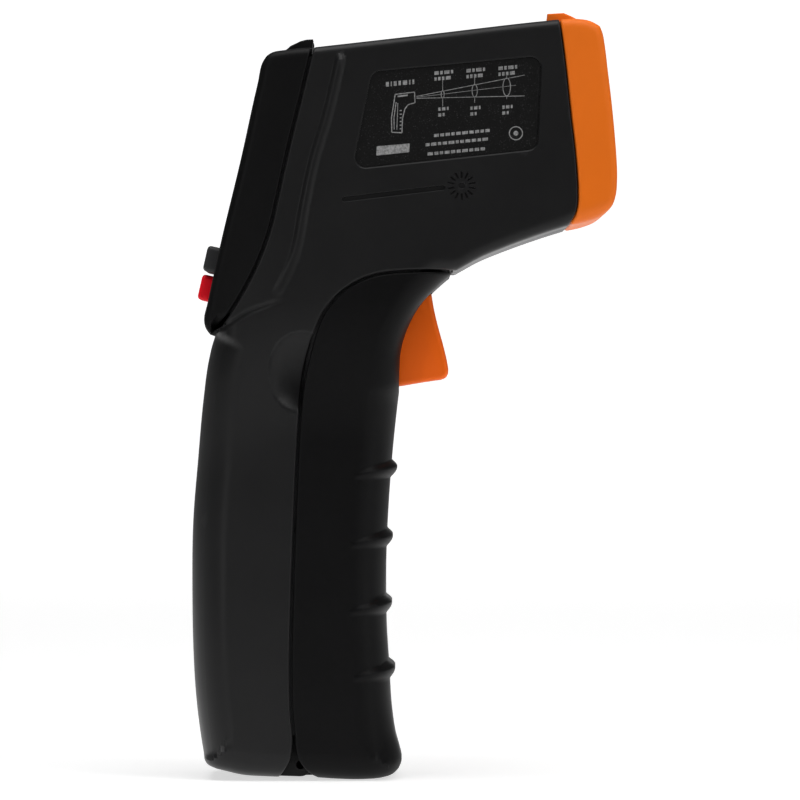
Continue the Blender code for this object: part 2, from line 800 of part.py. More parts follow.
def optics_pieces():
    back = -PLATE_RECESS - PLATE_THICK - GAP
    tube_end = back - TUBE_LENGTH
    outer = WELL_RADIUS + TUBE_WALL
    ledge = -LENS_DEPTH - LENS_THICK - GAP
    bore = SENSOR_RADIUS + SENSOR_FLANGE + GAP
    tube = turned(
        "optics_tube",
        [
            (WELL_RADIUS, back),
            (outer, back),
            (outer, tube_end),
            (bore, tube_end),
            (bore, ledge),
            (WELL_RADIUS, ledge),
            (WELL_RADIUS, back),
        ],
    )
    crown = -LENS_DEPTH + 1.0
    lens = turned(
        "infrared_lens",
        [
            (0.0, crown),
            (2.6, crown - 0.12),
            (5.0, crown - 0.5),
            (WELL_RADIUS - GAP, -LENS_DEPTH),
            (WELL_RADIUS - GAP, -LENS_DEPTH - LENS_THICK),
            (0.0, -LENS_DEPTH - LENS_THICK),
        ],
    )
    can_top = tube_end + 4.2
    can = turned(
        "sensor_can",
        [
            (0.0, can_top),
            (SENSOR_RADIUS - 0.4, can_top),
            (SENSOR_RADIUS, can_top - 0.4),
            (SENSOR_RADIUS, tube_end + 0.6),
            (SENSOR_RADIUS + SENSOR_FLANGE, tube_end + 0.6),
            (SENSOR_RADIUS + SENSOR_FLANGE, tube_end),
            (0.0, tube_end),
        ],
        steps=ROUND,
    )
    board = box(
        "sensor_board",
        (-outer - 0.6, -outer - 0.6, tube_end - GAP - BOARD_THICK),
        (outer + 0.6, outer + 0.6, tube_end - GAP),
    )
    pieces = [tube, lens, can, board]
    for piece in pieces:
        piece.location = (LENS_DROP * MM, 0.0, 0.0)
    return pieces + laser_pieces(back)


def laser_pieces(back):
    module = turned(
        "laser_module",
        [
            (1.4, back),
            (LASER_RADIUS, back),
            (LASER_RADIUS, back - LASER_LENGTH),
            (0.0, back - LASER_LENGTH),
            (0.0, back - 2.0),
            (1.4, back - 2.0),
            (1.4, back),
        ],
        steps=16,
    )
    edge = LASER_HOLE - GAP
    window = turned(
        "laser_lens",
        [(0.0, back + 1.7), (1.2, back + 1.5), (edge, back + 1.2), (edge, back + 0.4), (0.0, back + 0.4)],
        steps=16,
    )
    for piece in (module, window):
        piece.location = ((LENS_DROP - LASER_RISE) * MM, 0.0, 0.0)
    return [module, window]


# ---------------------------------------------------------------- boards and wiring

def main_board_front():
    """Where the main board ends, short of the sensor board."""
    back = PLATE_RECESS + PLATE_THICK + TUBE_LENGTH + 2 * GAP + BOARD_THICK
    half = WELL_RADIUS + TUBE_WALL + 0.6
    lean = (half + LENS_DROP) * math.sin(BARREL_PITCH)
    return NOSE_MIDDLE.x - back * math.cos(BARREL_PITCH) - lean - 1.5


def main_board():
    """Fills the head behind the optics, with a leg down to the trigger's switch."""
    front = main_board_front()
    leg = [(-15.0, 115.0), (-15.5, 90.5), (-17.5, 82.0), (-11.0, 82.0), (-10.0, 92.0), (-9.0, 115.0)]
    low, high, rear = side(0.0, 115.5).y, side(0.0, 142.0).y, side(-15.0, 142.0).x
    corners = [*sides(leg), Vector((front, low)), Vector((front, high)), Vector((rear, high))]
    board = slab("main_board", corners, MAIN_BOARD_Y, MAIN_BOARD_Y + BOARD_THICK)
    for number, place in enumerate(BOARD_SCREW_PLACES, 1):
        x, z = side(*place)
        hole = rod(f"board_hole_{number}", 1.5, (x, 0, z), (x, 20, z), CUTTERS, 12)
        combine(board, hole, "DIFFERENCE")
    return board


def board_parts():
    x, z = side(-5.0, 126.0)
    face = MAIN_BOARD_Y - GAP
    chip = box("controller_chip", (x - 5, face - 1.8, z - 5), (x + 5, face, z + 5))
    switch_x, switch_z = side(-12.2, 87.0)
    switch = box(
        "trigger_switch", (switch_x - 3.0, face - 5.0, switch_z - 3.0), (switch_x + 1.6, face, switch_z + 3.0)
    )
    plunger = rod(
        "trigger_switch_plunger",
        0.9,
        (switch_x, face - 2.5, switch_z),
        (switch_x + 3.6, face - 2.5, switch_z),
        CUTTERS,
        12,
    )
    return [chip, combine(switch, plunger, "UNION")]


def ribbon_cable():
    """A flat ribbon from the display board round to the main board's face."""
    start = side(-19.6, 126.0)
    path = smooth_path(
        [
            (start.x - 2.6, -6.0, 0),
            (start.x + 0.6, -4.8, 0),
            (start.x + 2.6, 0.0, 0),
            (start.x + 5.4, MAIN_BOARD_Y - 2.6, 0),
            (start.x + 8.6, MAIN_BOARD_Y - 0.7, 0),
        ],
        3,
    )
    bm = bmesh.new()
    spine = [bm.verts.new(point * MM) for point in path]
    edges = [bm.edges.new(pair) for pair in zip(spine, spine[1:])]
    swept = bmesh.ops.extrude_edge_only(bm, edges=edges)["geom"]
    moved = [v for v in swept if isinstance(v, bmesh.types.BMVert)]
    bmesh.ops.translate(bm, vec=(0, 0, 9.0 * MM), verts=moved)
    bmesh.ops.translate(bm, vec=(0, 0, start.y * MM - 4.5 * MM), verts=bm.verts)
    ribbon = new_object("ribbon_cable", mesh_from("ribbon_cable", bm))
    shell = ribbon.modifiers.new("thickness", "SOLIDIFY")
    shell.thickness = 0.4 * MM
    shell.offset = 0.0
    return ribbon


def wiring():
    top = TRAY_FLOOR + TRAY_WALL + GAP + BATTERY_TALL + SNAP_TALL + 0.6 + GAP
    leads = []
    for name, y in (("battery_lead_red", 3.4), ("battery_lead_black", -3.4)):
        route = [
            (BATTERY_FRONT - 8.0, y * 0.6, top),
            (BATTERY_FRONT - 4.0, y * 0.8, top + 0.6),
            (BATTERY_FRONT - 0.6, y, top + 5.0),
            (*side(-19.6, 78.0).to_tuple(), y),
            (*side(-18.9, 90.0).to_tuple(), y * 0.5 + 2.0),
            (*side(-18.2, 101.0).to_tuple(), y * 0.3 + 3.4),
            (*side(-13.6, 108.0).to_tuple(), y * 0.3 + 3.6),
        ]
        route = [p if k < 3 else (p[0], p[2], p[1]) for k, p in enumerate(route)]
        leads.append(wire(name, smooth_path(route, 3), 0.6))
    back = -PLATE_RECESS - PLATE_THICK - GAP - LASER_LENGTH
    for name, y in (("laser_lead_red", 1.1), ("laser_lead_black", -1.1)):
        start = NOSE_FRAME.matrix_world @ Vector(((LENS_DROP - LASER_RISE) * MM, 0, (back - GAP) * MM))
        x, z = start.x / MM, start.z / MM
        end = Vector((main_board_front() - 1.8, side(0.0, 138.0 + y * 1.4).y))
        route = [
            (x, y, z),
            (x - 5.0, y * 1.2, z - 0.4),
            (end.x + 3.6, y + 1.4, z - 2.2),
            (end.x + 0.6, y + 2.4, end.y + 5.0),
            (end.x, MAIN_BOARD_Y - 1.1, end.y),
        ]
        leads.append(wire(name, smooth_path(route, 3), 0.45))
    return leads


# ---------------------------------------------------------------- battery


def battery_pieces():
    rear = BATTERY_FRONT - BATTERY_DEEP
    half = BATTERY_WIDE / 2
    floor = TRAY_FLOOR + TRAY_WALL
    low = floor + GAP
    top = low + BATTERY_TALL
    middle = (rear + BATTERY_FRONT) / 2
    battery = box("battery", (rear, -half, low), (BATTERY_FRONT, half, top))
    bevel = battery.modifiers.new("corners", "BEVEL")
    bevel.width = 1.6 * MM
    bevel.segments = 2
    snap = box("battery_snap", (middle - 6.0, 1 - half, top + GAP), (middle + 6.0, half - 1, top + SNAP_TALL))
    for name, y, radius in (("plus", 6.4, 2.8), ("minus", -6.4, 3.7)):
        post = rod(f"battery_{name}", radius, (middle, y, top - 2), (middle, y, top + 2.2), CUTTERS, 16)
        combine(battery, post, "UNION")
        hole = rod(f"snap_{name}", radius + GAP, (middle, y, top - 2), (middle, y, top + 5), CUTTERS, 16)
        combine(snap, hole, "DIFFERENCE")
    ceiling = top + SNAP_ROOM
    back = rear - GAP
    front = BATTERY_FRONT - 2.0
    outline = [
        (front, TRAY_FLOOR),
        (front, floor),
        (back, floor),
        (back, ceiling),
        (front - 6.0, ceiling),
        (front - 6.0, ceiling + TRAY_WALL),
        (back - TRAY_WALL, ceiling + TRAY_WALL),
        (back - TRAY_WALL, TRAY_FLOOR),
    ]
    tray = slab("battery_tray", outline, -TRAY_HALF, TRAY_HALF)
    return [battery, snap, tray]


# ---------------------------------------------------------------- fasteners, labels


def screw(name, x, z, seat, tip, facing):
    """A pan-head screw along y, its head outside the seat on the facing side."""
    tall = SCREW_HEAD_TALL
    reach = abs(seat - tip)
    piece = turned(
        name,
        [
            (0.0, tall),
            (SCREW_HEAD_RADIUS * 0.7, tall),
            (SCREW_HEAD_RADIUS, tall * 0.45),
            (SCREW_HEAD_RADIUS, GAP),
            (SCREW_RADIUS, GAP),
            (SCREW_RADIUS, 0.8 - reach),
            (SCREW_RADIUS * 0.4, -reach),
            (0.0, -reach),
        ],
        steps=12,
    )
    piece.location = Vector((x, seat, z)) * MM
    piece.rotation_euler = (-facing * math.pi / 2, 0.0, 0.0)
    return piece


def screws():
    pieces = []
    for number, place in enumerate(SCREW_PLACES, 1):
        x, z = side(*place)
        pieces.append(screw(f"housing_screw_{number}", x, z, SCREW_SEAT, -SCREW_REACH, 1))
    for number, place in enumerate(BOARD_SCREW_PLACES, 1):
        x, z = side(*place)
        pieces.append(screw(f"board_screw_{number}", x, z, MAIN_BOARD_Y, MAIN_BOARD_Y + 6.5, -1))
    return pieces


def labels():
    floor = HEAD_WIDTH / 2 - LABEL_RECESS + GAP
    outline = label_outline(-GAP)
    right = slab("side_label_right", outline, -floor - LABEL_THICK, -floor)
    left = slab("side_label_left", outline, floor, floor + LABEL_THICK)
    return [right, left]


# ---------------------------------------------------------------- door and trigger


def trigger_pivot():
    foot = side(0.0, 92.0)
    return Vector((foot.x + TRIGGER_X, foot.y + TRIGGER_UP))


def trigger_slot(name):
    """The mouth that the trigger passes through, in the front of the door."""
    low, high = side(0.0, 81.35).y, trigger_pivot().y
    brow = [(14.0, high + 0.5), (5.4, high + 0.5), (4.6, high + 3.0), (-12.0, high + 3.0)]
    outline = [(-12.0, low), (14.0, low), *brow]
    half = TRIGGER_WIDTH / 2 + TRIGGER_ROOM
    return slab(name, outline, -half, half, CUTTERS)


def battery_door(hollow):
    door = new_object("battery_door", hollow.data.copy())
    combine(door, door_zone("door_kept", SEAM / 2, DOOR_TAIL), "INTERSECT")
    pivot = trigger_pivot()
    inner = TRIGGER_WIDTH / 2 + TRIGGER_ROOM
    lug = ((-2.6, -2.6), (2.2, -2.4), (5.0, 1.4), (3.0, 2.4), (-2.6, 2.4))
    corners = [pivot + Vector(corner) for corner in lug]
    for side_name, sign in (("right", -1), ("left", 1)):
        ends = sorted((sign * inner, sign * (inner + 2.6)))
        combine(door, slab(f"pin_lug_{side_name}", corners, *ends, CUTTERS), "UNION")
    combine(door, trigger_slot("door_slot"), "DIFFERENCE")
    start = (pivot.x, -inner - 1.9, pivot.y)
    bore = rod("trigger_pin_bore", PIN_RADIUS + RUN, start, (pivot.x, inner + 1.9, pivot.y), CUTTERS, 16)
    combine(door, bore, "DIFFERENCE")
    knuckle = rod(
        "door_knuckle",
        KNUCKLE_RADIUS,
        (HINGE_X, -KNUCKLE_HALF, HINGE_Z),
        (HINGE_X, KNUCKLE_HALF, HINGE_Z),
        CUTTERS,
    )
    web = box(
        "door_web",
        (HINGE_X, -KNUCKLE_HALF, HINGE_Z - KNUCKLE_RADIUS + 0.2),
        (HINGE_X + 6.5, KNUCKLE_HALF, HINGE_Z - 0.6),
        CUTTERS,
    )
    combine(door, combine(knuckle, web, "UNION"), "UNION")
    for side_name, sign in (("right", -1), ("left", 1)):
        start = (HINGE_X, sign * KNUCKLE_HALF, HINGE_Z)
        end = (HINGE_X, sign * (KNUCKLE_HALF + LUG_THICK + 2 * GAP), HINGE_Z)
        room = rod(f"lug_room_{side_name}", KNUCKLE_RADIUS + GAP, start, end, CUTTERS)
        combine(door, room, "DIFFERENCE")
    start = (HINGE_X, -KNUCKLE_HALF - 2, HINGE_Z)
    bore = rod("knuckle_bore", PIN_RADIUS + RUN, start, (HINGE_X, KNUCKLE_HALF + 2, HINGE_Z), CUTTERS, 16)
    return combine(door, bore, "DIFFERENCE")


def trigger_outline():
    """Side outline of the trigger: its sole, its front, the boss round its pin, and its back."""
    pivot = trigger_pivot()
    front = side(5.9, 101.3)
    toe = side(9.5, 84.9)
    heel = side(-0.5, 81.9)
    along = [bow(toe, front, -0.9, k / 5) for k in range(6)]
    sole = [heel + Vector((-5.0, -0.3)), heel, toe + Vector((-1.3, -1.7)), toe + Vector((-0.3, -0.7))]
    boss = []
    for k in range(7):
        angle = math.radians(50 + 25 * k)
        boss.append(pivot + Vector((math.cos(angle), math.sin(angle))) * TRIGGER_BOSS)
    back = [pivot + Vector((-3.6, -6.0)), heel + Vector((-5.2, 5.0))]
    return [*sole, *along, *boss, *back]


def trigger():
    half = TRIGGER_WIDTH / 2
    piece = slab("trigger", trigger_outline(), -half, half)
    pivot = trigger_pivot()
    inner = half - TRIGGER_WALL
    heel = side(-0.5, 81.9)
    toe = side(9.5, 84.9)
    hollow = [
        (heel.x - 12.0, heel.y + TRIGGER_WALL),
        (toe.x - TRIGGER_WALL - 2.2, heel.y + TRIGGER_WALL + 1.2),
        (pivot.x + 2.6, pivot.y - 3.4),
        (pivot.x + 2.0, pivot.y + 6.0),
        (heel.x - 12.0, pivot.y + 6.0),
    ]
    combine(piece, slab("trigger_hollow", hollow, -inner, inner, CUTTERS), "DIFFERENCE")
    start, end = (pivot.x, -half - 2, pivot.y), (pivot.x, half + 2, pivot.y)
    return combine(piece, rod("trigger_bore", PIN_RADIUS + RUN, start, end, CUTTERS, 16), "DIFFERENCE")


def trigger_spring():
    """A torsion spring round the trigger's pin, one leg forward and one back."""
    pivot = trigger_pivot()
    radius, turns, pitch, per_turn = 1.7, 3, 1.1, 10
    coil = []
    for k in range(turns * per_turn + 1):
        angle = math.radians(-90 + 360 * k / per_turn)
        y = (k / per_turn - turns / 2) * pitch
        coil.append((pivot.x + radius * math.cos(angle), y, pivot.y + radius * math.sin(angle)))
    first, last = coil[0], coil[-1]
    leg_front = [(pivot.x + 0.3, first[1], first[2] - 3.6), (pivot.x + 0.1, first[1], first[2] - 1.0)]
    leg_back = [(pivot.x - 1.5, last[1], last[2] - 0.4), (pivot.x - 5.0, last[1], last[2] - 1.6)]
    return wire("trigger_spring", [*leg_front, *coil, *leg_back], 0.35)


def pins():
    reach = KNUCKLE_HALF + GAP + LUG_THICK
    start, end = (HINGE_X, -reach, HINGE_Z), (HINGE_X, reach, HINGE_Z)
    hinge = rod("hinge_pin", PIN_RADIUS, start, end, sides_round=16)
    pivot = trigger_pivot()
    half = TRIGGER_WIDTH / 2 + TRIGGER_ROOM + 1.6
    start, end = (pivot.x, -half, pivot.y), (pivot.x, half, pivot.y)
    across = rod("trigger_pin", PIN_RADIUS, start, end, sides_round=16)
    return [hinge, across]


def on_pivot(obj, x, z):
    """Moves the origin of a moving piece onto its joint's axis, its shape left where it is."""
    move = Vector((x, 0.0, z)) * MM
    turned_back = obj.matrix_world.to_3x3().inverted()
    obj.data.transform(Matrix.Translation(-(turned_back @ move)))
    obj.location = obj.location + move
    return obj


# ---------------------------------------------------------------- assembly


def materials():
    black = (0.012, 0.012, 0.013)
    table = {
        "housing": (black, 0.5),
        "display_frame": ((0.007, 0.007, 0.008), 0.42),
        "door_rubber": ((0.005, 0.005, 0.006), 0.62),
        "orange": ((0.62, 0.13, 0.012), 0.38),
        "red": ((0.72, 0.004, 0.01), 0.35),
        "grey": ((0.02, 0.02, 0.022), 0.5),
        "board_green": ((0.02, 0.12, 0.05), 0.5),
        "chip": ((0.01, 0.01, 0.01), 0.4),
        "label": ((0.008, 0.008, 0.008), 0.5),
        "white_plastic": ((0.7, 0.7, 0.68), 0.4),
        "rubber": ((0.03, 0.03, 0.03), 0.7),
        "battery_wrap": ((0.02, 0.03, 0.09), 0.4),
        "lead_red": ((0.6, 0.02, 0.02), 0.4),
        "lead_black": ((0.01, 0.01, 0.01), 0.4),
        "ribbon": ((0.75, 0.75, 0.72), 0.5),
    }
    made = {name: new_material(name, colour, rough) for name, (colour, rough) in table.items()}
    made["steel"] = new_material("steel", (0.6, 0.6, 0.6), 0.3, metallic=1.0)
    made["brass"] = new_material("brass", (0.75, 0.55, 0.25), 0.35, metallic=1.0)
    made["glass"] = new_material("glass", (0.75, 0.8, 0.78), 0.05, transmission=0.9)
    made["lens"] = new_material("lens", (0.45, 0.42, 0.4), 0.1, transmission=0.6)
    made["lcd"] = new_material("lcd", (0.32, 0.36, 0.3), 0.2)
    return made


def assemble():
    form = solid_form()
    hollow = new_object("hollow", form.data.copy(), CUTTERS)
    combine(hollow, head_cavity("head_cavity", WALL), "DIFFERENCE")
    combine(hollow, grip_cavity(), "DIFFERENCE")
    hollow = as_mesh(hollow, "hollow_made", CUTTERS)
    blank = body_blank(hollow)
    pieces = [
        (right_housing(blank), "housing"),
        (left_housing(blank), "housing"),
        (display_housing(hollow), "display_frame"),
        (nose_cap(hollow), "orange"),
        (front_plate(), "housing"),
        (battery_door(hollow), "door_rubber"),
        (trigger(), "orange"),
        (trigger_spring(), "steel"),
        (main_board(), "board_green"),
        (ribbon_cable(), "ribbon"),
    ]
    pieces += zip(pins(), ("steel", "steel"))
    pieces += zip(
        display_pieces(),
        ("glass", "lcd", "white_plastic", "rubber", "board_green", "steel", "steel", "steel"),
    )
    for name, y, up, width in button_places():
        pieces.append((button(name, y, up, width), "red" if name == "button_red" else "grey"))
    optics = optics_pieces()
    for piece in optics:
        hang(piece, NOSE_FRAME)
    pieces += zip(optics, ("lens", "lens", "steel", "board_green", "brass", "glass"))
    pieces += zip(board_parts(), ("chip", "chip"))
    pieces += zip(wiring(), ("lead_red", "lead_black", "lead_red", "lead_black"))
    pieces += zip(battery_pieces(), ("battery_wrap", "rubber", "housing"))
    pieces += [(piece, "steel") for piece in screws()]
    pieces += [(piece, "label") for piece in labels()]
    finishes = materials()
    for piece, slot in pieces:
        finish(piece, finishes[slot])
    on_pivot(bpy.data.objects["battery_door"], HINGE_X, HINGE_Z)
    on_pivot(bpy.data.objects["trigger"], *trigger_pivot())


clear_scene()
PIECES = new_collection("infrared_thermometer")
CUTTERS = new_collection("cutters")
DISPLAY_FRAME = new_frame("display_face", *FACE_LOW, FACE_TILT)
NOSE_FRAME = new_frame("nose_front", *NOSE_MIDDLE, math.pi / 2 - BARREL_PITCH)
bpy.context.view_layer.update()
assemble()
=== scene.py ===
"""Pistol-grip infrared thermometer: its mouldings, labels, display, buttons and optics in full detail.

+X is forward (the nose), +Z is up and +Y is to the instrument's left. Outlines are in millimetres,
as (x, z) points of the side view. The mid-plane is y = 0.
"""

import math

import bmesh
import bpy
import numpy as np
from bpy.props import FloatProperty, FloatVectorProperty, IntProperty, PointerProperty
from mathutils import Matrix, Vector


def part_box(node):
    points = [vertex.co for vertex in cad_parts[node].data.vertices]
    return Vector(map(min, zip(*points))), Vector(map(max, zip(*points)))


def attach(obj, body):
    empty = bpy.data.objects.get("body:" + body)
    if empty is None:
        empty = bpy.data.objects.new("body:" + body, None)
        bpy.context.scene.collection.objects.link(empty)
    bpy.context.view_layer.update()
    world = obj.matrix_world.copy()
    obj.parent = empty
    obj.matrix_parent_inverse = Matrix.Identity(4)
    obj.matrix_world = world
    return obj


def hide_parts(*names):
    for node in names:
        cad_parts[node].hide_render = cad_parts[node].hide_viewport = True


bl_info = {
    "name": "Infrared thermometer",
    "version": (1, 0, 0),
    "blender": (4, 5, 0),
    "location": "3D View > Sidebar > Thermometer",
    "description": "Builds the visible pieces of a pistol-grip infrared thermometer",
    "category": "Object",
}

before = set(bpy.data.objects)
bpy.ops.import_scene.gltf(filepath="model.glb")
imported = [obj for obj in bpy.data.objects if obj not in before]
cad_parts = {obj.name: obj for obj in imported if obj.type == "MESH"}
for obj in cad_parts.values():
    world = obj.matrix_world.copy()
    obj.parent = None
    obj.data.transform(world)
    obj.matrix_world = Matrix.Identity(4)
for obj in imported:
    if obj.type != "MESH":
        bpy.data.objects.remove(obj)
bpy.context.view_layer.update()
MM = 0.001

# ---------------------------------------------------------------- outlines, mm

NOTCH = (-38.8, 93.35)
TIP = (-39.9, 92.5)
GUARD_TIP = (10.3, 105.3)

HANDLE_BASE = [(-41.6, 4.0), (-41.0, 3.15), (-39.6, 2.4), (-36.7, 1.6), (-33.8, 0.95), (-28.9, 0.6)]
HANDLE_REAR = [
    (-41.6, 4.0), (-42.3, 8.0), (-43.4, 16.9), (-44.0, 27.2), (-44.2, 38.0), (-44.0, 54.1),
    (-43.0, 66.6), (-41.8, 79.0), (-40.6, 87.3), (-39.7, 91.0), NOTCH,
]
NOTCH_REAR = [(-25.7, 0.5), (-24.4, 2.5), (-23.5, 4.4), (-23.1, 6.7)]
NOTCH_FRONT = [(-18.2, 0.4), (-19.2, 1.1), (-20.6, 2.6), (-21.7, 4.4), (-22.25, 6.5)]
DOOR_SEAM_LOW = [
    (-22.75, 9.5), (-23.1, 13.1), (-23.35, 21.0), (-23.1, 37.0), (-22.6, 52.0), (-22.0, 66.6),
    (-21.5, 75.0), (-21.0, 80.2), (-20.35, 84.5), (-19.4, 88.5), (-18.3, 92.6), (-16.7, 96.6),
    (-14.1, 100.0),
]
DOOR_SEAM_HIGH = [(-14.1, 100.0), (-10.7, 102.7), (-5.9, 104.75), (-0.7, 105.45), (4.6, 105.6), GUARD_TIP]
DOOR_FRONT = [
    (-1.0, 2.1), (-0.35, 3.6), (-0.75, 5.8), (-1.6, 8.9), (-2.2, 12.7), (-3.0, 24.1), (-3.4, 30.0),
    (-3.6, 38.0), (-3.6, 43.8), (-3.0, 58.3), (-2.2, 68.6), (-1.5, 75.5), (-0.9, 80.6),
]
GUARD_FRONT = [
    (-0.9, 80.6), (-0.8, 85.6), (-0.6, 88.8), (0.1, 91.8), (1.6, 95.5), (3.7, 99.0), (6.4, 101.9),
    (9.3, 104.5),
]
DOOR_BASE = [(-18.2, 0.4), (-14.0, 0.1), (-8.0, 0.0), (-4.5, 0.3), (-2.2, 1.05), (-1.0, 2.1)]
UNDERSIDE = [
    (10.6, 105.5), (13.4, 107.1), (15.8, 108.4), (20.8, 110.5), (25.8, 112.35), (30.7, 114.0), (34.5, 115.15),
]
NOSE_SEAM = [
    (34.5, 115.15), (35.4, 116.7), (36.05, 119.3), (36.1, 122.4), (35.7, 128.7), (34.6, 138.4),
    (33.4, 149.4), (32.3, 157.6),
]
NOSE_BASE = [(34.5, 115.15), (38.6, 116.05), (40.7, 116.9), (42.2, 118.0)]
NOSE_FRONT = [
    (42.2, 118.0), (43.2, 119.2), (43.9, 121.2), (44.2, 124.5), (44.1, 128.7), (43.8, 132.8),
    (43.0, 141.1), (42.25, 147.3), (41.6, 152.6), (41.2, 154.8), (40.6, 156.3),
]
NOSE_TOP = [(32.3, 157.6), (35.6, 157.75), (38.6, 157.35), (40.6, 156.3)]
HEAD_TOP = [(-18.75, 151.8), (5.0, 154.5), (28.3, 157.2), (32.3, 157.6)]
DISPLAY_SEAM = [
    NOTCH, (-36.2, 96.6), (-33.6, 100.7), (-31.0, 105.6), (-29.2, 109.7), (-27.7, 114.0),
    (-25.9, 121.5), (-23.7, 131.3), (-21.2, 141.5), (-18.75, 151.8),
]
REAR_FACE = [
    TIP, (-41.0, 94.2), (-41.2, 95.6), (-40.5, 98.9), (-37.6, 112.1), (-33.6, 128.7), (-30.1, 144.4),
    (-28.95, 149.0), (-28.2, 150.1),
]
DISPLAY_TOP = [(-28.2, 150.1), (-27.3, 150.7), (-24.4, 151.3), (-18.75, 151.8)]
RIB = [(-13.0, 149.1), (-15.8, 137.1), (-18.4, 128.4), (-20.4, 118.9), (-22.5, 108.6), (-25.7, 101.7)]
LEDGE = [
    NOTCH, (-36.6, 94.75), (-34.4, 96.0), (-32.4, 97.2), (-29.6, 98.3), (-25.7, 99.6), (-20.0, 100.3),
    (-14.1, 100.0),
]
FINGER_RIDGES = (65.1, 50.7, 36.8, 23.1)
LABEL = [(-6.5, 146.7), (28.5, 150.0), (27.6, 130.7), (-10.5, 126.6)]
GROOVE = [(-12.2, 120.4), (8.1, 122.8)]
GROOVE_HALF, GROOVE_DEEP = 0.5, 0.5
DIAL = (12.0, 123.2)
DIAL_SLOT = (1.75, 2.75, 0.2, 0.45)
DIAL_PIP = (0.62, 0.35)
THUMB = (-21.0, 84.8)
THUMB_REACH = (7.0, 8.4)
FRONT_SIGHT = [
    (33.4, 156.9), (37.0, 157.0), (36.5, 159.1), (35.15, 159.8), (33.7, 160.4), (30.3, 160.2),
    (30.0, 157.8), (33.2, 157.9),
]
REAR_SIGHT = [
    (-25.4, 151.2), (-23.6, 152.9), (-21.4, 153.95), (-20.2, 154.25), (-18.85, 154.3), (-19.1, 151.2),
]
SIGHT_NOTCH = [(-30.0, 152.0), (-15.0, 152.4), (-15.0, 157.0), (-30.0, 157.0)]
TRIGGER_SLOT = [(-12.0, 81.35), (14.0, 81.35), (14.0, 101.7), (5.4, 101.7), (4.6, 104.2), (-12.0, 104.2)]
TRIGGER_FACE = [
    (9.15, 84.0), (9.45, 84.7), (9.35, 85.9), (8.65, 89.3), (7.3, 94.3), (6.35, 98.4), (5.9, 101.3),
]
TRIGGER_SOLE = [(-0.5, 81.9), (3.0, 82.5), (6.5, 83.05), (8.3, 83.35), (8.85, 83.6), (9.15, 84.0)]

FACE_FOOT = (-41.3, 95.0)
FACE_TILT = math.atan2(12.5, 55.2)
BARREL_PITCH = math.radians(6.7)
NOSE_MIDDLE = (42.75, 138.3)

# Half-widths across, mm: the handle at its foot and the head, both before their edges are rounded.
GRIP_HALF = 16.7
HEAD_HALF = 21.35

# Each moulding stands back this far from the line of its seam, mm.
SEAM_GAP = 0.27
NOSE_GAP = 0.12
MIDDLE_GAP = 0.04
MIDDLE_EDGE = 0.4

# Spacing of mesh lines from an edge inwards, mm, on a side at least NEAR_FULL long.
NEAR = np.array([0.0, 0.05, 0.14, 0.28, 0.45, 0.7, 1.05, 1.45, 2.0, 2.7, 3.5, 4.5, 5.6, 7.0])
NEAR_FULL = 22.0

# The strips behind the seams: how far they reach to either side, and how deep they lie, mm.
LIP_BACK = 1.5
LIP_AHEAD = 1.1
LIP_TOP = 1.85
LIP_DEEP = 2.9
LIP_SINK = 0.15

# The door's hinge and the trigger, mm: radii round their pins, and half-widths across.
BOSS_RADIUS = 2.4
PIN_BORE = 1.0
KNUCKLE_HALF = 8.9
SLOT_HALF = 8.0
EAR_HALF = 10.6
TRIGGER_HALF = 7.5
TRIGGER_ROUND = 1.5
TRIGGER_HOLLOW = 5.7

# The tubes that lead the housing screws in, mm.
SCREWS = [f"housing_screw_{k}" for k in range(1, 6)]
TUBE_BORE = 2.75
TUBE_OUTER = 3.35

# The rear face: buttons as (name, y, height up the face, width, material, slot), and the window's
# width, foot and height, mm.
BUTTONS = (
    ("left", 6.5, 13.3, 9.0, "grey_plastic", "grey"),
    ("right", -6.5, 13.3, 9.0, "grey_plastic", "grey"),
    ("red", 0.0, 7.3, 12.0, "red_plastic", "red"),
)
BUTTON_HEIGHT = 5.4
WINDOW = (32.0, 21.5, 29.0)

# The nose, mm: the mouth as (down, across) corners, and the holes in its plate as (name, down, radius).
MOUTH = [(-16.2, -17.0), (16.4, -15.6), (16.4, 15.6), (-16.2, 17.0)]
PLATE_HOLES = (("well_cut", 2.5, 7.4), ("laser_cut", -11.5, 2.2))
BAFFLE_DEPTHS = (-2.4, -3.9, -5.4)

# The labels' corners and film, mm.
LABEL_CORNER = 2.2
FILM_THICK = 0.16
INK_PROUD = 0.03

# The lights, m: name, place, size, share of the key light, and the height that they point at.
LIGHTS = (
    ("top_light", (0.0, -0.1, 0.75), (0.7, 0.5), 1.0, 0.1),
    ("front_light", (0.65, -0.5, 0.7), (0.35, 0.35), 0.62, 0.08),
    ("strip_light", (-0.6, -0.95, 0.25), (0.12, 0.6), 0.3, 0.09),
    ("nose_light", (0.75, -0.3, 0.15), (0.2, 0.3), 0.1, 0.1),
)
WORLD_STRENGTH = 0.14

# The camera looks at this (x, z), m, and its field is taken at the side that faces it.
AIM = (-0.0007, 0.079)
SIDE_PLANE = 0.017


# ---------------------------------------------------------------- settings


class ShellSettings(bpy.types.PropertyGroup):
    """Sizes of the mouldings"""

    wall: FloatProperty(
        name="Wall", description="Thickness of the mouldings, mm", default=1.7, min=0.8, max=3.0
    )
    edge: FloatProperty(
        name="Edge", description="Rounding along the seams, mm", default=0.42, min=0.1, max=1.0
    )
    thumb_depth: FloatProperty(
        name="Thumb rest", description="Depth of the thumb rest, mm", default=2.8, min=0.0, max=4.0
    )
    ridge_proud: FloatProperty(
        name="Finger ridges", description="Height of the finger ridges, mm", default=1.25, min=0.0, max=2.0
    )
    rib_proud: FloatProperty(
        name="Side rib", description="Height of the soft rib on the head, mm", default=0.65, min=0.0, max=1.0
    )


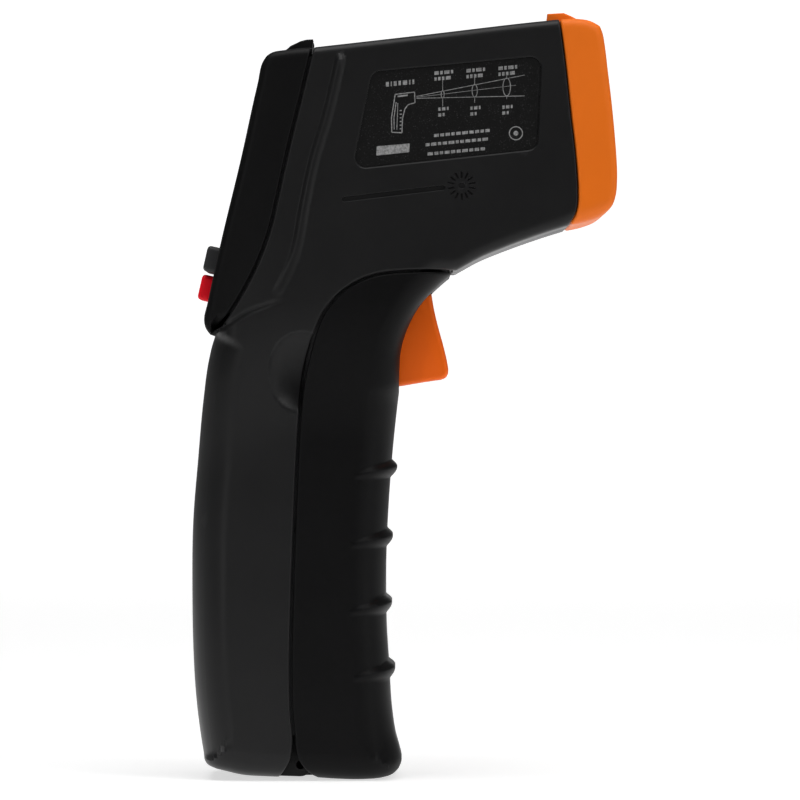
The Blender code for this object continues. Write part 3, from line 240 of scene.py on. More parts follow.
class LabelSettings(bpy.types.PropertyGroup):
    """Sizes of the labels and of the moulded dial below them"""

    recess: FloatProperty(
        name="Recess", description="Depth of the label's recess, mm", default=0.55, min=0.2, max=1.0
    )
    slots: IntProperty(
        name="Dial slots", description="Slots round the moulded dial", default=14, min=8, max=24
    )


class ColourSettings(bpy.types.PropertyGroup):
    """Colours of the plastics"""

    body: FloatVectorProperty(
        name="Housings", description="Colour of the housings",
        subtype="COLOR", default=(0.0085, 0.0085, 0.0088), min=0, max=1,
    )
    display: FloatVectorProperty(
        name="Display housing", description="Colour of the display housing",
        subtype="COLOR", default=(0.0042, 0.0042, 0.0044), min=0, max=1,
    )
    door: FloatVectorProperty(
        name="Battery door", description="Colour of the door",
        subtype="COLOR", default=(0.003, 0.003, 0.0032), min=0, max=1,
    )
    accent: FloatVectorProperty(
        name="Nose and trigger", description="Colour of the orange pieces",
        subtype="COLOR", default=(0.85, 0.17, 0.008), min=0, max=1,
    )
    power: FloatVectorProperty(
        name="Red button", description="Colour of the red button",
        subtype="COLOR", default=(0.95, 0.003, 0.016), min=0, max=1,
    )


class StageSettings(bpy.types.PropertyGroup):
    """The camera's place and field, and the light's strength"""

    distance: FloatProperty(
        name="Distance", description="Camera to the mid-plane", default=1.0, min=0.3, max=3.0, unit="LENGTH"
    )
    field: FloatProperty(
        name="Field", description="Width that the camera takes in, mm", default=165.6, min=80, max=400
    )
    key: FloatProperty(
        name="Key light", description="Strength of the light above", default=3.8, min=0, max=50
    )


# ---------------------------------------------------------------- curves


def run_of(curve):
    """The length of the curve up to each of its points."""
    return np.concatenate([[0.0], np.cumsum(np.linalg.norm(np.diff(curve, axis=0), axis=1))])


def directions(curve):
    """The unit direction of travel at each point."""
    along = np.gradient(curve, axis=0)
    return along / np.linalg.norm(along, axis=1)[:, None]


def through(points, step=0.25):
    """A smooth curve through points, drawn at a close step."""
    p = np.asarray(points, float)
    gap = np.linalg.norm(np.diff(p, axis=0), axis=1)
    slope = np.diff(p, axis=0) / gap[:, None]
    if len(p) == 2:
        tangent = slope[[0, 0]]
    else:
        inner = (slope[:-1] * gap[1:, None] + slope[1:] * gap[:-1, None]) / (gap[:-1] + gap[1:])[:, None]
        tangent = np.vstack([1.5 * slope[0] - 0.5 * inner[0], inner, 1.5 * slope[-1] - 0.5 * inner[-1]])
    knot = np.concatenate([[0.0], np.cumsum(gap)])
    at = np.linspace(0.0, knot[-1], max(2, int(knot[-1] / step) + 1))
    k = np.clip(np.searchsorted(knot, at, side="right") - 1, 0, len(p) - 2)
    h = gap[k][:, None]
    t = ((at - knot[k]) / gap[k])[:, None]
    ends = (2 * t**3 - 3 * t**2 + 1) * p[k] + (3 * t**2 - 2 * t**3) * p[k + 1]
    return ends + (t**3 - 2 * t**2 + t) * h * tangent[k] + (t**3 - t**2) * h * tangent[k + 1]


def joined(*curves):
    """One curve from several that follow on, each shared point kept once."""
    parts = [curves[0]]
    for curve in curves[1:]:
        near = np.linalg.norm(curve[0] - parts[-1][-1]) < 1e-6
        parts.append(curve[1:] if near else curve)
    return np.vstack(parts)


def shifted(curve, amount):
    """The curve moved to the right of its travel by amount."""
    along = directions(curve)
    return curve + np.column_stack([along[:, 1], -along[:, 0]]) * amount


def at_shares(curve, shares):
    """Points of the curve at shares of its length."""
    run = run_of(curve)
    return np.column_stack([np.interp(np.asarray(shares) * run[-1], run, curve[:, k]) for k in (0, 1)])


def graded(length, middle, first=True, last=True):
    """Shares of a length, close together towards the ends that are asked for."""
    near = NEAR * min(1.0, length / NEAR_FULL) / length
    start = near if first else near[:1]
    end = 1.0 - near[::-1] if last else np.array([1.0])
    between = np.linspace(start[-1], end[0], middle + 2)[1:-1]
    return np.concatenate([start, between, end])


def thickened(shares, length, zones):
    """Shares with extra lines inside each (low, high, step) zone of the length."""
    extra = [np.arange(low, high, step) / length for low, high, step in zones]
    every = np.sort(np.concatenate([shares, *extra]))
    keep = [0.0]
    for share in every[1:-1]:
        if share - keep[-1] > 0.03 / length and 1.0 - share > 0.03 / length:
            keep.append(share)
    return np.array([*keep, 1.0])


def coons(bottom, top, left, right):
    """Rows of points, from bottom to top, filling the space inside four curves."""
    u = ((share_of(bottom) + share_of(top)) / 2)[None, :, None]
    v = ((share_of(left) + share_of(right)) / 2)[:, None, None]
    across = (1 - v) * bottom[None] + v * top[None]
    along = (1 - u) * left[:, None] + u * right[:, None]
    low = (1 - u) * bottom[0] + u * bottom[-1]
    high = (1 - u) * top[0] + u * top[-1]
    return across + along - (1 - v) * low - v * high


def share_of(curve):
    """The share of the length up to each point."""
    run = run_of(curve)
    return run / run[-1]


def distance_to(points, line, chunk=4000):
    """Distance from each point to a line, and the nearest place on the line, in line points."""
    a, b = line[:-1], line[1:]
    ab = b - a
    size = np.maximum((ab**2).sum(1), 1e-12)
    far, place = [], []
    for k in range(0, len(points), chunk):
        p = points[k : k + chunk, None]
        t = np.clip(((p - a) * ab).sum(2) / size, 0.0, 1.0)
        gap = np.linalg.norm(p - (a + ab * t[..., None]), axis=2)
        best = gap.argmin(1)
        row = np.arange(len(best))
        far.append(gap[row, best])
        place.append(best + t[row, best])
    return np.concatenate(far), np.concatenate(place)


def eased_step(t):
    """0 below nought, 1 above one, and a smooth rise between."""
    t = np.clip(t, 0.0, 1.0)
    return t * t * (3 - 2 * t)


# ---------------------------------------------------------------- the shared form


class Form:
    """The half-width of the whole instrument over its side view."""

    def __init__(self):
        # Each leg of the outline, with how far in from it the side is rounded and how far it drops.
        legs = [
            (HANDLE_BASE[::-1], 5.0, 6.5),
            (HANDLE_REAR, 8.0, 11.5),
            ([NOTCH, TIP], 1.4, 1.4),
            (REAR_FACE, 1.7, 1.7),
            (DISPLAY_TOP, 1.9, 1.9),
            (HEAD_TOP, 1.9, 1.9),
            (NOSE_TOP, 1.9, 1.9),
            (NOSE_FRONT[::-1], 1.6, 1.6),
            (NOSE_BASE[::-1], 3.0, 3.4),
            (UNDERSIDE[::-1], 2.2, 2.6),
            (GUARD_FRONT[::-1], 5.5, 7.0),
            (DOOR_FRONT[::-1], 7.5, 10.0),
            (DOOR_BASE[::-1], 5.0, 6.5),
        ]
        start = [(-25.7, 0.5)]
        legs[0] = (start + legs[0][0], *legs[0][1:])
        curves = [through(points, 0.4) for points, _, _ in legs]
        self.line = np.vstack([*curves, [start[0]]])
        self.rounds = []
        run = run_of(self.line)
        for which in (1, 2):
            value = np.concatenate([np.full(len(c), leg[which]) for c, leg in zip(curves, legs)])
            value = np.append(value, value[-1])
            self.rounds.append(self.smoothed(run, value))
        self.ledge = through(LEDGE)

    def snapped(self, point):
        """The nearest point of the outline, and its place in line points."""
        _, place = distance_to(np.array([point], float), self.line)
        k = min(int(place[0]), len(self.line) - 2)
        return self.line[k] + (self.line[k + 1] - self.line[k]) * (place[0] - k), place[0]

    def along(self, start, end):
        """The stretch of the outline between two points."""
        (first, a), (last, b) = self.snapped(start), self.snapped(end)
        if a > b:
            return self.along(end, start)[::-1]
        return np.vstack([[first], self.line[int(a) + 1 : math.ceil(b)], [last]])

    @staticmethod
    def smoothed(run, value, reach=2.8, step=0.2):
        """A running average over a stretch of the outline, both in mm."""
        even = np.arange(0.0, run[-1], step)
        level = np.interp(even, run, value)
        size = int(reach / step)
        padded = np.concatenate([level[-size:], level, level[:size]])
        kernel = np.hanning(2 * size + 1)
        mean = np.convolve(padded, kernel / kernel.sum(), mode="same")[size:-size]
        return np.interp(run, even, mean)

    def depth(self, points):
        """Distance inside the outline, and the two radii of the nearest edge."""
        far, place = distance_to(points, self.line)
        at = np.arange(len(self.line))
        return far, *(np.interp(place, at, radii) for radii in self.rounds)

    def side_width(self, points):
        """Half-width of the sides, before their edges are rounded."""
        x, z = points[:, 0], points[:, 1]
        # The handle swells a little upwards, and is crowned about its own curved middle.
        middle = -23.9 + 0.0013 * (z - 36.0) ** 2
        grip = GRIP_HALF + 0.6 * eased_step(z / 40.0)
        grip -= 0.8 * np.clip((x - middle) / 20.0, -1, 1) ** 2
        # The head narrows to the nose and the rear, and is crowned about the barrel's axis.
        barrel = 131.0 + 0.117 * (x - 10.0)
        head = HEAD_HALF - 1.5 * eased_step((x - 30.0) / 15.0) - 0.7 * eased_step((-26.0 - x) / 12.0)
        head -= 0.12 * np.clip((z - barrel) / 20.0, -1, 1) ** 2
        # They blend below the ledge, with a shallow crease along it.
        below = np.interp(x, self.ledge[:, 0], self.ledge[:, 1]) - z
        share = 1.0 - eased_step(below / 30.0)
        crease = 0.5 * np.exp(-(((below - 0.3) / 0.55) ** 2))
        crease *= eased_step((x + 37.5) / 3.0) * eased_step((-24.0 - x) / 5.0)
        return grip + (head - grip) * share - crease

    def half_width(self, points):
        """Half-width with the edges rounded, and the distance inside the outline."""
        far, across, deep = self.depth(points)
        bend = 1.0 - np.clip(far / across, 0.0, 1.0)
        return self.side_width(points) - deep * (1.0 - np.sqrt(1.0 - bend**2)), far


# ---------------------------------------------------------------- meshes


def linked(name, data):
    """A new object in the scene."""
    obj = bpy.data.objects.new(name, data)
    bpy.context.scene.collection.objects.link(obj)
    return obj


def new_mesh(name, points, faces):
    """A mesh object from millimetre points."""
    mesh = bpy.data.meshes.new(name)
    mesh.from_pydata((np.asarray(points, float) * MM).tolist(), [], [list(map(int, face)) for face in faces])
    mesh.update()
    return linked(name, mesh)


def baked(obj):
    """The object with its modifiers made into its mesh."""
    graph = bpy.context.evaluated_depsgraph_get()
    mesh = bpy.data.meshes.new_from_object(obj.evaluated_get(graph))
    obj.modifiers.clear()
    old, obj.data = obj.data, mesh
    bpy.data.meshes.remove(old)
    return obj


def outward(obj):
    """Turns the faces of closed solids outwards."""
    bm = bmesh.new()
    bm.from_mesh(obj.data)
    bmesh.ops.recalc_face_normals(bm, faces=bm.faces)
    bm.to_mesh(obj.data)
    bm.free()
    return obj


def joined_objects(name, objects):
    """One object from several, their meshes side by side."""
    bm = bmesh.new()
    for obj in objects:
        obj.data.transform(obj.matrix_world)
        bm.from_mesh(obj.data)
        bpy.data.objects.remove(obj)
    mesh = bpy.data.meshes.new(name)
    bm.to_mesh(mesh)
    bm.free()
    return linked(name, mesh)


def combined(obj, other, operation="DIFFERENCE"):
    """A Boolean of two solids, the second used up."""
    modifier = obj.modifiers.new("cut", "BOOLEAN")
    modifier.operation = operation
    modifier.solver = "MANIFOLD"
    modifier.object = other
    bpy.context.view_layer.update()
    baked(obj)
    bpy.data.objects.remove(other)
    return obj


def stack(name, rings):
    """A closed solid through rings of equally many points."""
    count = len(rings[0])
    points = np.vstack(rings)
    faces = [list(range(count))[::-1], [len(points) - count + k for k in range(count)]]
    for r in range(len(rings) - 1):
        for k in range(count):
            a, b = r * count + k, r * count + (k + 1) % count
            faces.append((a, b, b + count, a + count))
    return outward(new_mesh(name, points, faces))


def grown(outline, amount):
    """A closed outline moved outwards by amount. It runs either way round."""
    p = np.asarray(outline, float)
    x, z = p[:, 0], p[:, 1]
    turn = np.sign((x * np.roll(z, -1) - np.roll(x, -1) * z).sum())
    along = np.roll(p, -1, axis=0) - np.roll(p, 1, axis=0)
    along /= np.linalg.norm(along, axis=1)[:, None]
    return p + turn * np.column_stack([along[:, 1], -along[:, 0]]) * amount


def rounded(corners, radius, steps=6):
    """A closed outline with its corners rounded."""
    corners = np.asarray(corners, float)
    outline = []
    for k, corner in enumerate(corners):
        before, after = corners[k - 1], corners[(k + 1) % len(corners)]
        back, on = before - corner, after - corner
        back, on = back / np.linalg.norm(back), on / np.linalg.norm(on)
        half = math.acos(np.clip(back @ on, -1, 1)) / 2
        reach = radius / math.tan(half)
        centre = corner + (back + on) / np.linalg.norm(back + on) * radius / math.sin(half)
        first, last = corner + back * reach - centre, corner + on * reach - centre
        for s in np.linspace(0, 1, steps + 1):
            spoke = first * (1 - s) + last * s
            outline.append(centre + spoke / np.linalg.norm(spoke) * radius)
    return np.array(outline)


def circle(centre, radius, count=32):
    """A closed outline with evenly spaced points."""
    turn = np.arange(count) * 2 * math.pi / count
    return np.column_stack([centre[0] + radius * np.cos(turn), centre[1] + radius * np.sin(turn)])


def flat(outline, y):
    """A side-view outline placed at one y."""
    outline = np.asarray(outline, float)
    return np.column_stack([outline[:, 0], np.full(len(outline), y), outline[:, 1]])


def prism(name, outline, low, high, edge=0.0, steps=3):
    """A side-view outline from y low to y high, its two rims rounded by edge."""
    if not edge:
        return stack(name, [flat(outline, low), flat(outline, high)])
    turns = [math.radians(90 * k / steps) for k in range(steps + 1)]
    rims = [(edge * (math.sin(t) - 1), edge * (1 - math.cos(t))) for t in turns]
    rings = [flat(grown(outline, more), low + inward) for more, inward in rims]
    rings += [flat(grown(outline, more), high - inward) for more, inward in rims[::-1]]
    return stack(name, rings)


def turned(name, profile, steps=64):
    """A solid of revolution about local Z from (radius, height) points. A profile that starts on
    the axis is capped there, and any other closes on itself as a ring."""
    points, faces, rows = [], [], []
    for radius, height in profile:
        if radius < 1e-6:
            rows.append([len(points)])
            points.append((0.0, 0.0, height))
        else:
            rows.append(list(range(len(points), len(points) + steps)))
            for k in range(steps):
                turn = 2 * math.pi * k / steps
                points.append((radius * math.cos(turn), radius * math.sin(turn), height))
    closed = profile[0][0] > 1e-6
    pairs = list(zip(rows, rows[1:] + rows[:1])) if closed else list(zip(rows, rows[1:]))
    for low, high in pairs:
        for k in range(steps):
            after = (k + 1) % steps
            ring = [low[k % len(low)], low[after % len(low)], high[after % len(high)], high[k % len(high)]]
            face = list(dict.fromkeys(ring))
            if len(face) > 2:
                faces.append(face)
    return outward(new_mesh(name, points, faces))


def placed(obj, matrix):
    """The object with its mesh moved."""
    obj.data.transform(matrix)
    return obj


def smooth(obj, angle=32.0):
    """Shades the object smooth, apart from edges sharper than the angle."""
    for polygon in obj.data.polygons:
        polygon.use_smooth = True
    obj.data.set_sharp_from_angle(angle=math.radians(angle))
    return obj


def frame_at(x, z, tilt):
    """A frame on the mid-plane, turned about Y."""
    return Matrix.Translation(Vector((x, 0.0, z)) * MM) @ Matrix.Rotation(tilt, 4, "Y")


def finished(obj, material, body, replaces=()):
    """Gives a piece its material, its body, and the CAD nodes that it stands for."""
    obj.data.materials.clear()
    obj.data.materials.append(material)
    smooth(obj)
    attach(obj, body)
    if replaces:
        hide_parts(*replaces)
    return obj


# ---------------------------------------------------------------- shells


class Shell:
    """A moulding drawn on the shared form: patches of the side view, carried round to the mid-plane.
    Its wall thins towards a tip, where it has one."""

    def __init__(self, form, grids, to_middle, wall, tip=None):
        points, faces = [], []
        for grid in grids:
            rows, columns = grid.shape[:2]
            start = sum(len(p) for p in points)
            points.append(grid.reshape(-1, 2))
            index = np.arange(rows * columns).reshape(rows, columns) + start
            quads = np.stack([index[:-1, :-1], index[:-1, 1:], index[1:, 1:], index[1:, :-1]], axis=-1)
            faces.append(quads.reshape(-1, 4))
        points, faces = np.vstack(points), np.vstack(faces)
        _, first, back = np.unique(np.round(points, 3), axis=0, return_index=True, return_inverse=True)
        points, faces = points[first], back.reshape(-1)[faces]
        width, far = form.half_width(points)
        self.points = np.column_stack([points[:, 0], -width, points[:, 1]])
        self.faces = [list(dict.fromkeys(face)) for face in faces.tolist()]
        self.faces = [face for face in self.faces if len(face) > 2]
        self.behind = far
        self.carry_round(far < 0.001, to_middle)
        self.normals = self.vertex_normals()
        # On the open side a normal points outwards, even where the surface folds into a rounded edge.
        folded = (self.behind > 2.5) & (self.normals[:, 1] > -0.5)
        self.normals[folded] = (0.0, -1.0, 0.0)
        reach = np.full(len(self.points), wall)
        if tip:
            reach = np.clip(0.35 * np.linalg.norm(self.side() - np.array(tip), axis=1), 0.25, wall)
        self.inner = self.points - self.normals * reach[:, None]
        self.inner[:, 1] = np.minimum(self.inner[:, 1], to_middle)
        self.inner[np.abs(self.points[:, 1] - to_middle) < 1e-6, 1] = to_middle

    def boundary(self):
        """The directed edges that only one face has, in the order that the faces give them."""
        edges = {}
        for face in self.faces:
            for edge in zip(face, face[1:] + face[:1]):
                edges[edge] = True
        return [(a, b) for a, b in edges if (b, a) not in edges]

    def carry_round(self, on_edge, to_middle):
        """Carries the outline's edge straight across to y = to_middle."""
        strip = [(a, b) for a, b in self.boundary() if on_edge[a] and on_edge[b]]
        used = sorted({v for edge in strip for v in edge})
        at = {v: k for k, v in enumerate(used)}
        base = self.points[used]
        # A moulding that ends at the middle has closer rows there, for its rounded parting edge.
        closer = [0.0] if to_middle == 0.0 else [0.75, 0.4, 0.2, 0.08, 0.0]
        across = [to_middle + (base[:, 1] - to_middle) * (1 - share) for share in (0.2, 0.45, 0.7)]
        across += [np.full(len(base), to_middle - gap) for gap in closer]
        count = len(self.points)
        rows = [np.column_stack([base[:, 0], y, base[:, 2]]) for y in across]
        self.points = np.vstack([self.points, *rows])
        self.behind = np.concatenate([self.behind, *[np.zeros(len(base)) for _ in rows]])
        size = len(used)
        for r in range(len(rows)):
            for a, b in strip:
                low_a = a if r == 0 else count + (r - 1) * size + at[a]
                low_b = b if r == 0 else count + (r - 1) * size + at[b]
                high_a, high_b = count + r * size + at[a], count + r * size + at[b]
                self.faces.append([low_b, low_a, high_a, high_b])

    def vertex_normals(self):
        """Outward normals, each the mean of its faces' weighed by area."""
        total = np.zeros_like(self.points)
        for face in self.faces:
            corner = self.points[face]
            size = np.cross(corner[1] - corner[0], corner[-1] - corner[0])
            if len(face) == 4:
                size = size + np.cross(corner[3] - corner[2], corner[1] - corner[2])
            total[face] += size
        return total / np.maximum(np.linalg.norm(total, axis=1), 1e-12)[:, None]

    def push(self, amount, through_wall=False):
        """Moves every point out along its normal by its amount, and the inside too if asked."""
        move = self.normals * np.asarray(amount)[:, None]
        self.points = self.points + move
        if through_wall:
            self.inner = self.inner + move

    def side(self):
        """The points as the side view has them."""
        return self.points[:, [0, 2]]

    def soften(self, seams, radius):
        """Rounds the moulding off along its seams."""
        drop = np.zeros(len(self.points))
        for seam in seams:
            far, _ = distance_to(self.side(), seam)
            inside = np.clip(radius - far, 0.0, radius)
            drop = np.maximum(drop, radius - np.sqrt(radius**2 - inside**2))
        self.push(-drop)

    def soften_middle(self, radius):
        """Rounds the moulding off along the parting line."""
        far = np.clip(radius + self.points[:, 1] + 0.05, 0.0, radius)
        self.push(-(radius - np.sqrt(radius**2 - far**2)) * (self.behind < 0.05))

    def solid(self, name, side=-1, whole=False):
        """The moulding as a closed shell of the wall's thickness, on one side or on both."""
        count = len(self.points)
        points = np.vstack([self.points, self.inner])
        faces = self.faces + [[v + count for v in reversed(face)] for face in self.faces]
        faces += [[b, a, a + count, b + count] for a, b in self.boundary()]
        if whole:
            on_plane = np.abs(points[:, 1]) < 1e-6
            faces = [face for face in faces if not on_plane[face].all()]
            back = np.where(on_plane, np.arange(2 * count), np.arange(2 * count) + 2 * count)
            faces += [back[face[::-1]].tolist() for face in faces]
            points = np.vstack([points, points * np.array([1.0, -1.0, 1.0])])
        elif side > 0:
            points = points * np.array([1.0, -1.0, 1.0])
            faces = [face[::-1] for face in faces]
        obj = new_mesh(name, points, faces)
        bm = bmesh.new()
        bm.from_mesh(obj.data)
        bmesh.ops.delete(bm, geom=[v for v in bm.verts if not v.link_faces], context="VERTS")
        bm.to_mesh(obj.data)
        bm.free()
        return obj


def seam_lines():
    """The lines where mouldings meet, each split into the stretches that pieces share."""
    whole = through(DOOR_SEAM_LOW + DOOR_SEAM_HIGH[1:])
    split = int(np.linalg.norm(whole - np.array(DOOR_SEAM_HIGH[0]), axis=1).argmin())
    return {
        "door_low": whole[: split + 1],
        "door_high": whole[split:],
        "display": through(DISPLAY_SEAM),
        "nose": through(NOSE_SEAM),
    }


def between(curve, low, high):
    """The part of a curve between the points nearest to two others."""
    ends = [int(np.linalg.norm(curve - np.array(p, float), axis=1).argmin()) for p in (low, high)]
    return curve[ends[0] : ends[1] + 1]


def straight(start, end, shares):
    """Points at shares of a straight line."""
    start, end = np.asarray(start, float), np.asarray(end, float)
    return start + (end - start) * np.asarray(shares)[:, None]


def ends_snapped(shape, curve):
    """The curve with its ends brought onto the outline."""
    curve = curve.copy()
    for k in (0, -1):
        curve[k] = shape.snapped(curve[k])[0]
    return curve


def body_grids(shape, lines):
    """The handle's rear half, then the head above it."""
    low = shifted(lines["door_low"], -SEAM_GAP)
    rear = ends_snapped(shape, shifted(lines["display"], SEAM_GAP))
    nose = ends_snapped(shape, shifted(lines["nose"], -NOSE_GAP))
    corner = low[-1]
    high = np.vstack([[corner], shifted(lines["door_high"], -SEAM_GAP)[1:-2], [UNDERSIDE[0]]])
    door_side = through([*NOTCH_REAR, *low[:-8:16], corner])
    heel = HANDLE_BASE[0]
    # Extra lines run up the rear of the handle and the thumb rest, and along the crease.
    across = thickened(graded(22.0, 30), 22.0, [(3.6, 8.4, 0.3), (13.4, 18.4, 0.4)])
    up = thickened(graded(95.0, 84, last=False), 95.0, [(70.0, 93.0, 0.42), (93.0, 95.0, 0.12)])
    shelf = at_shares(through([rear[0], *LEDGE[1:-2], corner]), across)
    base = at_shares(shape.along(heel, NOTCH_REAR[0]), across)
    grip = coons(base, shelf, at_shares(shape.along(heel, rear[0]), up), at_shares(door_side, up))
    guard_shares = graded(26.0, 24, last=False)
    under_shares = graded(26.0, 26, first=False)
    foot = shape.along(UNDERSIDE[0], nose[0])
    bottom = joined(shelf, at_shares(high, guard_shares), at_shares(foot, under_shares))
    stops = [rear[-1], (-5.0, 153.4), (13.0, 155.4), nose[-1]]
    tops = [shape.along(a, b) for a, b in zip(stops, stops[1:])]
    top = joined(*[at_shares(c, s) for c, s in zip(tops, (across, guard_shares, under_shares))])
    rise = graded(58.0, 62)
    head = coons(bottom, top, at_shares(rear, rise), at_shares(nose, rise))
    return [grip, head], [joined(door_side, high), rear, nose]


def door_grids(shape, lines):
    """The front half of the handle, with the guard over the trigger."""
    low = shifted(lines["door_low"], SEAM_GAP)
    high = shifted(lines["door_high"], SEAM_GAP)
    seam = joined(through([*NOTCH_FRONT, *low[:-8:16], low[-1]]), high[1:-3])
    toe = DOOR_BASE[-1]
    front = shape.along(toe, (9.75, 104.85))
    # Both long sides are split at the same places up the handle, and have extra lines at the ridges.
    left_stops = [seam[0], (-21.0, 80.2), (-14.1, 100.0), (-5.9, 104.75), seam[-1]]
    right_stops = [front[0], (-0.9, 80.6), (0.1, 91.8), (3.7, 99.0), front[-1]]
    bands = [(z - 4.6, z + 2.2, 0.27) for z in FINGER_RIDGES]
    shares = [
        thickened(graded(80.0, 60, last=False), 79.0, [(a - 2.1, b - 2.1, s) for a, b, s in bands]),
        np.linspace(0, 1, 16),
        np.linspace(0, 1, 14),
        graded(10.0, 10, first=False),
    ]
    left, right = (
        joined(*[at_shares(between(curve, a, b), s) for a, b, s in zip(stops, stops[1:], shares)])
        for curve, stops in ((seam, left_stops), (front, right_stops))
    )
    across = graded(22.0, 26)
    bottom = at_shares(shape.along(seam[0], toe), across)
    return [coons(bottom, straight(left[-1], right[-1], across), left, right)], [seam]


def display_grids(shape, lines):
    """The display housing, from its tip at the notch up to its top edge."""
    seam = ends_snapped(shape, shifted(lines["display"], -SEAM_GAP))
    shoulder = REAR_FACE[-1]
    rise = graded(62.0, 60)
    across = graded(10.0, 8)
    bottom = at_shares(shape.along(TIP, seam[0]), across)
    top = at_shares(shape.along(shoulder, seam[-1]), across)
    return [coons(bottom, top, at_shares(shape.along(TIP, shoulder), rise), at_shares(seam, rise))], [seam]


def nose_grids(shape, lines):
    """The nose cap, from chin to brow."""
    seam = ends_snapped(shape, shifted(lines["nose"], NOSE_GAP))
    chin, brow = NOSE_FRONT[0], NOSE_FRONT[-1]
    rise = graded(42.0, 40)
    across = graded(10.0, 8)
    bottom = at_shares(shape.along(seam[0], chin), across)
    top = at_shares(shape.along(seam[-1], brow), across)
    return [coons(bottom, top, at_shares(seam, rise), at_shares(shape.along(chin, brow), rise))], [seam]


def thumb_scoop(points, depth):
    """How deep the thumb rest goes in at points of the side view."""
    reach = (((points - np.array(THUMB)) / np.array(THUMB_REACH)) ** 2).sum(axis=1)
    return depth * np.clip(1.0 - reach, 0.0, 1.0) ** 0.85


def rib_and_rest(shell, settings):
    """The soft rib up the head and the scoop for the thumb, beside the door."""
    side = shell.side()
    rib = through(RIB)
    far, place = distance_to(side, rib)
    fade = eased_step((1.0 - place / (len(rib) - 1)) / 0.3) * 0.6 + 0.4
    bump = np.clip(1.0 - (far / 1.25) ** 2, 0.0, 1.0) ** 1.3
    dot = np.clip(1.0 - (np.linalg.norm(side - rib[0], axis=1) / 1.2) ** 2, 0.0, 1.0)
    lift = settings.rib_proud * np.maximum(bump * fade, 1.5 * dot)
    shell.push(lift)
    shell.push(-thumb_scoop(side, settings.thumb_depth), through_wall=True)


def finger_ridges(shell, proud):
    """Four short fins over the fingers, dying out towards the side."""
    side = shell.side()
    front = through(DOOR_FRONT)
    x_front = np.interp(side[:, 1], front[:, 1], front[:, 0])
    behind = np.clip(x_front - side[:, 0], 0.0, 30.0)
    lift = np.zeros(len(side))
    for height in FINGER_RIDGES:
        away = side[:, 1] - (height - 0.24 * behind)
        taper = np.clip(1.0 - behind / 7.6, 0.0, 1.0)
        upper, lower = 0.5 + 0.95 * taper, 0.7 + 1.6 * taper
        reach = np.where(away > 0, away / upper, -away / lower)
        lift = np.maximum(lift, proud * taper**0.8 * np.clip(1.0 - reach**2, 0.0, 1.0) ** 1.3)
    shell.push(lift)


# ---------------------------------------------------------------- materials


class Graph:
    """A material's node tree, with its Principled shader."""

    def __init__(self, name, colour, roughness, metallic=0.0, specular=0.5):
        self.material = bpy.data.materials.new(name)
        self.material.use_nodes = True
        self.material.diffuse_color = (*colour, 1.0)
        self.tree = self.material.node_tree
        self.shader = next(n for n in self.tree.nodes if n.type == "BSDF_PRINCIPLED")
        self.shader.inputs["Base Color"].default_value = (*colour, 1.0)
        self.shader.inputs["Roughness"].default_value = roughness
        self.shader.inputs["Metallic"].default_value = metallic
        self.shader.inputs["Specular IOR Level"].default_value = specular
        self.place = self.node("ShaderNodeTexCoord").outputs["Object"]

    def node(self, kind, **values):
        """A new node, with its settings or its input values by name."""
        made = self.tree.nodes.new(kind)
        for key, value in values.items():
            if hasattr(made, key):
                setattr(made, key, value)
            else:
                made.inputs[key.replace("_", " ")].default_value = value
        return made

    def combined(self, operation, first, second):
        """Two values put together by a Math node."""
        made = self.node("ShaderNodeMath", operation=operation)
        self.link(first, made, 0)
        self.link(second, made, 1)
        return made.outputs[0]

    def finish(self, colour, roughness):
        """Links the shader's two main inputs and gives the material."""
        self.link(colour, self.shader, "Base Color")
        self.link(roughness, self.shader, "Roughness")
        return self.material

    def link(self, output, node, key):
        self.tree.links.new(output, node.inputs[key])

    def noise(self, scale, detail=2.0, stretch=None):
        """A noise texture's share, drawn out along the axes by stretch."""
        texture = self.node("ShaderNodeTexNoise", Scale=scale, Detail=detail)
        place = self.place
        if stretch:
            mapping = self.node("ShaderNodeMapping", Scale=stretch)
            self.link(place, mapping, "Vector")
            place = mapping.outputs["Vector"]
        self.link(place, texture, "Vector")
        return texture.outputs["Fac"]

    def spread(self, value, low, high, start=0.3, end=0.7):
        """A value that swings between low and high."""
        made = self.node("ShaderNodeMapRange", From_Min=start, From_Max=end, To_Min=low, To_Max=high)
        self.link(value, made, "Value")
        return made.outputs["Result"]

    def tint(self, share, low, high):
        """A colour between two, by a share."""
        mix = self.node("ShaderNodeMix", data_type="RGBA")
        mix.inputs[6].default_value = (*low, 1.0)
        mix.inputs[7].default_value = (*high, 1.0)
        self.link(share, mix, 0)
        return mix.outputs[2]

    def bump(self, height, strength, depth, under=None):
        """Relief on the shader, on top of the relief under it."""
        made = self.node("ShaderNodeBump", Strength=strength, Distance=depth)
        self.link(height, made, "Height")
        if under:
            self.link(under, made, "Normal")
        self.link(made.outputs["Normal"], self.shader, "Normal")
        return made.outputs["Normal"]


def scaled(colour, factor):
    """A colour made darker or lighter."""
    return tuple(min(1.0, channel * factor) for channel in colour)


